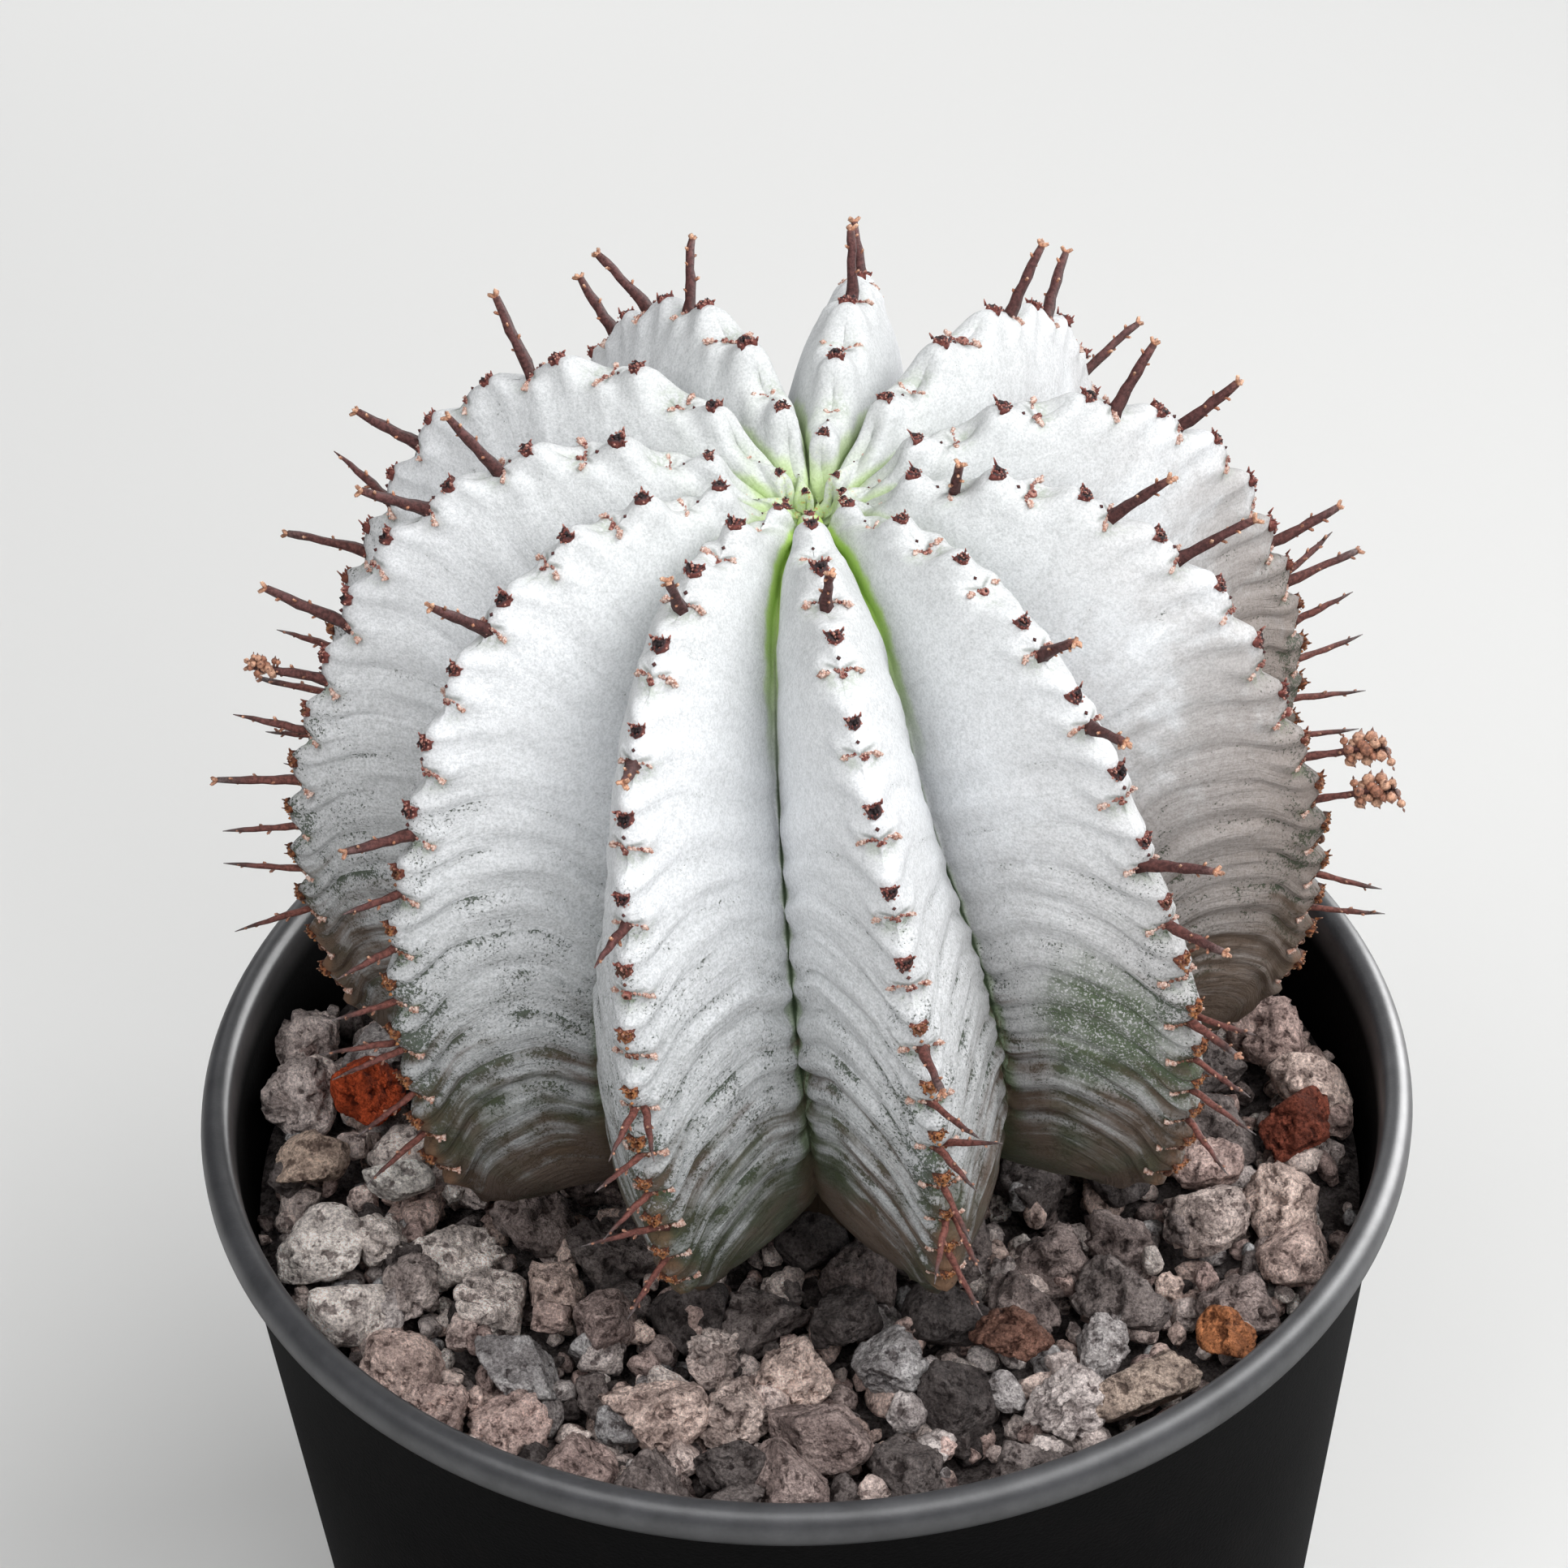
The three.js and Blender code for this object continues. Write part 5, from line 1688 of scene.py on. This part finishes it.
def scar_paint():
    """Corky scars: nearly black in the middle, rusty round it, with pale lumps on the bars."""
    paint = Paint("dry scar")
    tone, age, tint = paint.attribute("tone"), paint.attribute("age"), paint.attribute("tint")
    grain = paint.noise(paint.place(), 0.4 * MM, 3.0, 0.7)
    young = paint.shades(YOUNG_SCAR, tone + (grain - 0.5) * 0.6)
    old = paint.shades(OLD_SCAR, tone + (grain - 0.5) * 0.3)
    colour = paint.mix(paint.ramp(0.2, 0.8, age), young, old)
    pale = paint.mix(paint.ramp(0.35, 0.65, grain), (0.40, 0.19, 0.13), (0.78, 0.62, 0.55))
    colour = paint.mix(paint.ramp(0.25, 0.75, tint + (grain - 0.5) * 0.3), colour, pale)
    bump = paint.bump(grain, 0.18 * MM)
    return paint.finish(Base_Color=colour, Roughness=0.8, Normal=bump, Specular_IOR_Level=0.2)


def stalk_paint():
    """Dry stalks: dark maroon near the crown, pinkish brown with grey tips lower down."""
    paint = Paint("dry stalk")
    tone, age = paint.attribute("tone"), paint.attribute("age")
    grain = paint.noise(paint.place(), 0.5 * MM, 3.0, 0.7)
    mixed = tone + (grain - 0.5) * 0.12
    colour = paint.mix(age, paint.shades(YOUNG_STALK, mixed), paint.shades(OLD_STALK, mixed))
    streaks = paint.mix(paint.ramp(0.35, 0.65, grain), (0.42, 0.36, 0.36), (1.4, 1.35, 1.35))
    colour = paint.tint(0.75, colour, streaks)
    bump = paint.bump(grain, 0.12 * MM)
    return paint.finish(Base_Color=colour, Roughness=0.72, Normal=bump, Specular_IOR_Level=0.3)


def stone_paint(name, colour=None):
    """Porous volcanic stone: grainy, paler on its high grains, and darker in the low places of its crust as
    painted shade in the pores.
    """
    paint = Paint(name)
    where = paint.place()
    shade = colour or paint.shades(STONE_SHADES, paint.attribute("age"))
    grain = paint.noise(where, 0.42 * MM, 4.0, 0.75)
    crust = paint.noise(where, 1.7 * MM, 4.0, 0.6)
    blotch = paint.noise(where, 4 * MM, 3.0, 0.6)
    spread = paint.mix(paint.ramp(0.35, 0.65, blotch), (0.55, 0.52, 0.51), (1.2, 1.18, 1.16))
    body = paint.tint(0.95, shade, spread)
    paler_high_grains = paint.mix(paint.ramp(0.32, 0.68, grain), (0.42, 0.40, 0.40), (1.45, 1.43, 1.4))
    body = paint.tint(0.85, body, paler_high_grains)
    # Painted shade: darker where the crust is low, in the pores
    painted_pore_shade = 1 - paint.ramp(0.38, 0.48, crust)
    body = paint.mix(painted_pore_shade * 0.8, body, paint.tint(1.0, body, (0.16, 0.13, 0.13)))
    bump = paint.bump(grain, 0.4 * MM)
    bump = paint.bump(crust, 1.2 * MM, bump)
    return paint.finish(Base_Color=body, Roughness=0.93, Normal=bump, Specular_IOR_Level=0.15)


def plastic_paint():
    """Matt black plastic with a fine moulded grain, dusted a little, and a lip painted lighter grey:
    painted light on its top, with some dusting.
    """
    paint = Paint("pot plastic")
    where = paint.place()
    grain = paint.noise(where, 0.5 * MM, 3.0, 0.6)
    dust_and_lip_light = paint.noise(where, 6 * MM, 4.0, 0.65)
    height = paint.node("ShaderNodeSeparateXYZ", None, {"Vector": where}, 2)
    lip = paint.ramp((POT_HEIGHT - LIP_DEPTH - 1) * MM, (POT_HEIGHT - 2) * MM, height)
    colour = paint.mix(paint.ramp(0.45, 0.8, dust_and_lip_light) * 0.5, (0.002, 0.002, 0.0022), (0.005, 0.004, 0.004))
    # Painted light: the lip is painted a lighter grey than the wall, as its lit top, with some dusting
    colour = paint.mix(lip * (0.2 + 0.8 * dust_and_lip_light), colour, (0.075, 0.076, 0.083))
    bump = paint.bump(grain, 0.12 * MM)
    coat = lip * (0.6 + 0.4 * dust_and_lip_light)
    return paint.finish(
        Base_Color=colour,
        Roughness=0.8,
        Normal=bump,
        Specular_IOR_Level=0.04,
        Coat_Weight=coat,
        Coat_Roughness=0.42,
        Coat_IOR=1.7,
    )


def mix_paint():
    """Dark, crumbly potting mix."""
    paint = Paint("potting mix")
    where = paint.place()
    crumb = paint.noise(where, 2.2 * MM, 5.0, 0.7)
    bits = paint.cells(where, 3.0 * MM)
    colour = paint.mix(crumb, (0.018, 0.012, 0.009), (0.09, 0.062, 0.045))
    colour = paint.mix(1 - paint.ramp(0.05, 0.2, bits), colour, (0.28, 0.26, 0.23))
    bump = paint.bump(crumb, 0.9 * MM)
    return paint.finish(Base_Color=colour, Roughness=0.95, Normal=bump, Specular_IOR_Level=0.1)


# Stage


def pale_floor():
    bpy.ops.mesh.primitive_plane_add(size=4.0, location=(0, 0, 0))
    floor = bpy.context.object
    floor.name = "floor"
    dress(floor.data, Paint("floor").finish(Base_Color=(0.78, 0.78, 0.77), Roughness=0.9))


def dim_world():
    world = bpy.data.worlds.new("studio")
    world.use_nodes = True
    background = world.node_tree.nodes["Background"]
    background.inputs["Color"].default_value = (0.95, 0.97, 1.0, 1.0)
    background.inputs["Strength"].default_value = WORLD_STRENGTH
    bpy.context.scene.world = world


def lamp(name, place, size, power):
    """A square soft lamp that looks at the middle of the plant."""
    light = bpy.data.lights.new(name, "AREA")
    light.size = size
    light.energy = power
    made = into_scene(name, light)
    made.location = place
    made.rotation_euler = (LAMP_TARGET - Vector(place)).to_track_quat("-Z", "Y").to_euler()
    return made


def stage():
    """Soft studio light over a pale floor, with one lamp more that only shows as gloss."""
    pale_floor()
    dim_world()
    bpy.context.scene.view_settings.view_transform = "Standard"
    for name, (place, size, power) in LAMPS.items():
        lamp(name, place, size, power)
    lamp("gloss on the lip", *LIP_LAMP).visible_diffuse = False


def camera():
    """The camera of the photograph, worked out from the pot's rim and the plant."""
    height_angle = math.radians(CAMERA_HEIGHT_ANGLE)
    back = Vector((0, -math.cos(height_angle), math.sin(height_angle)))
    right = Vector((1, 0, 0))
    up = right.cross(-back)
    pan, tilt = math.tan(math.radians(CAMERA_PAN)), math.tan(math.radians(CAMERA_TILT))
    forward = (-back + right * pan + up * tilt).normalized()
    side = forward.cross(up).normalized()
    top = side.cross(forward)
    roll = math.radians(CAMERA_ROLL)
    x_axis = side * math.cos(roll) + top * math.sin(roll)
    y_axis = top * math.cos(roll) - side * math.sin(roll)
    data = bpy.data.cameras.new("camera")
    data.sensor_width = SENSOR
    data.lens = FOCAL_SHARE * SENSOR
    data.clip_start, data.clip_end = 0.01, 20
    middle = Vector((0, 0, POT_HEIGHT * MM))
    turn = Matrix((x_axis, y_axis, -forward)).transposed().to_4x4()
    made = into_scene("camera", data)
    made.matrix_world = Matrix.Translation(back * CAMERA_DISTANCE * MM + middle) @ turn
    bpy.context.scene.camera = made


def ride(piece, replaced=()):
    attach(piece, "root")
    if replaced:
        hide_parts(*replaced)


def ride_mix(mix):
    """The fill keeps its solid and only gets a finish."""
    dress(mix.data, mix_paint())


def ride_bed():
    rock = stone_paint("porous stone")
    libraries = rock_libraries()
    front, *others = stones(libraries, rock)
    ride(front, ["gravel_bed"])
    for piece in (*others, bed_floor(rock)):
        ride(piece)
    for name, piece in coloured_stones(libraries[FINEST]):
        ride(piece, [name])


def ride_plant():
    body, skin_points = stem(wax_paint())
    ride(body, ["plant"])
    crests = Crests(skin_points)
    ride(crest_marks(crests, scar_paint()))
    ride(stalks(crests, stalk_paint()))


def main():
    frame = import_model()
    ride_mix(frame["nodes"]["potting_mix"])
    ride(pot(plastic_paint()), ["pot"])
    ride_bed()
    ride_plant()
    stage()
    camera()


main()
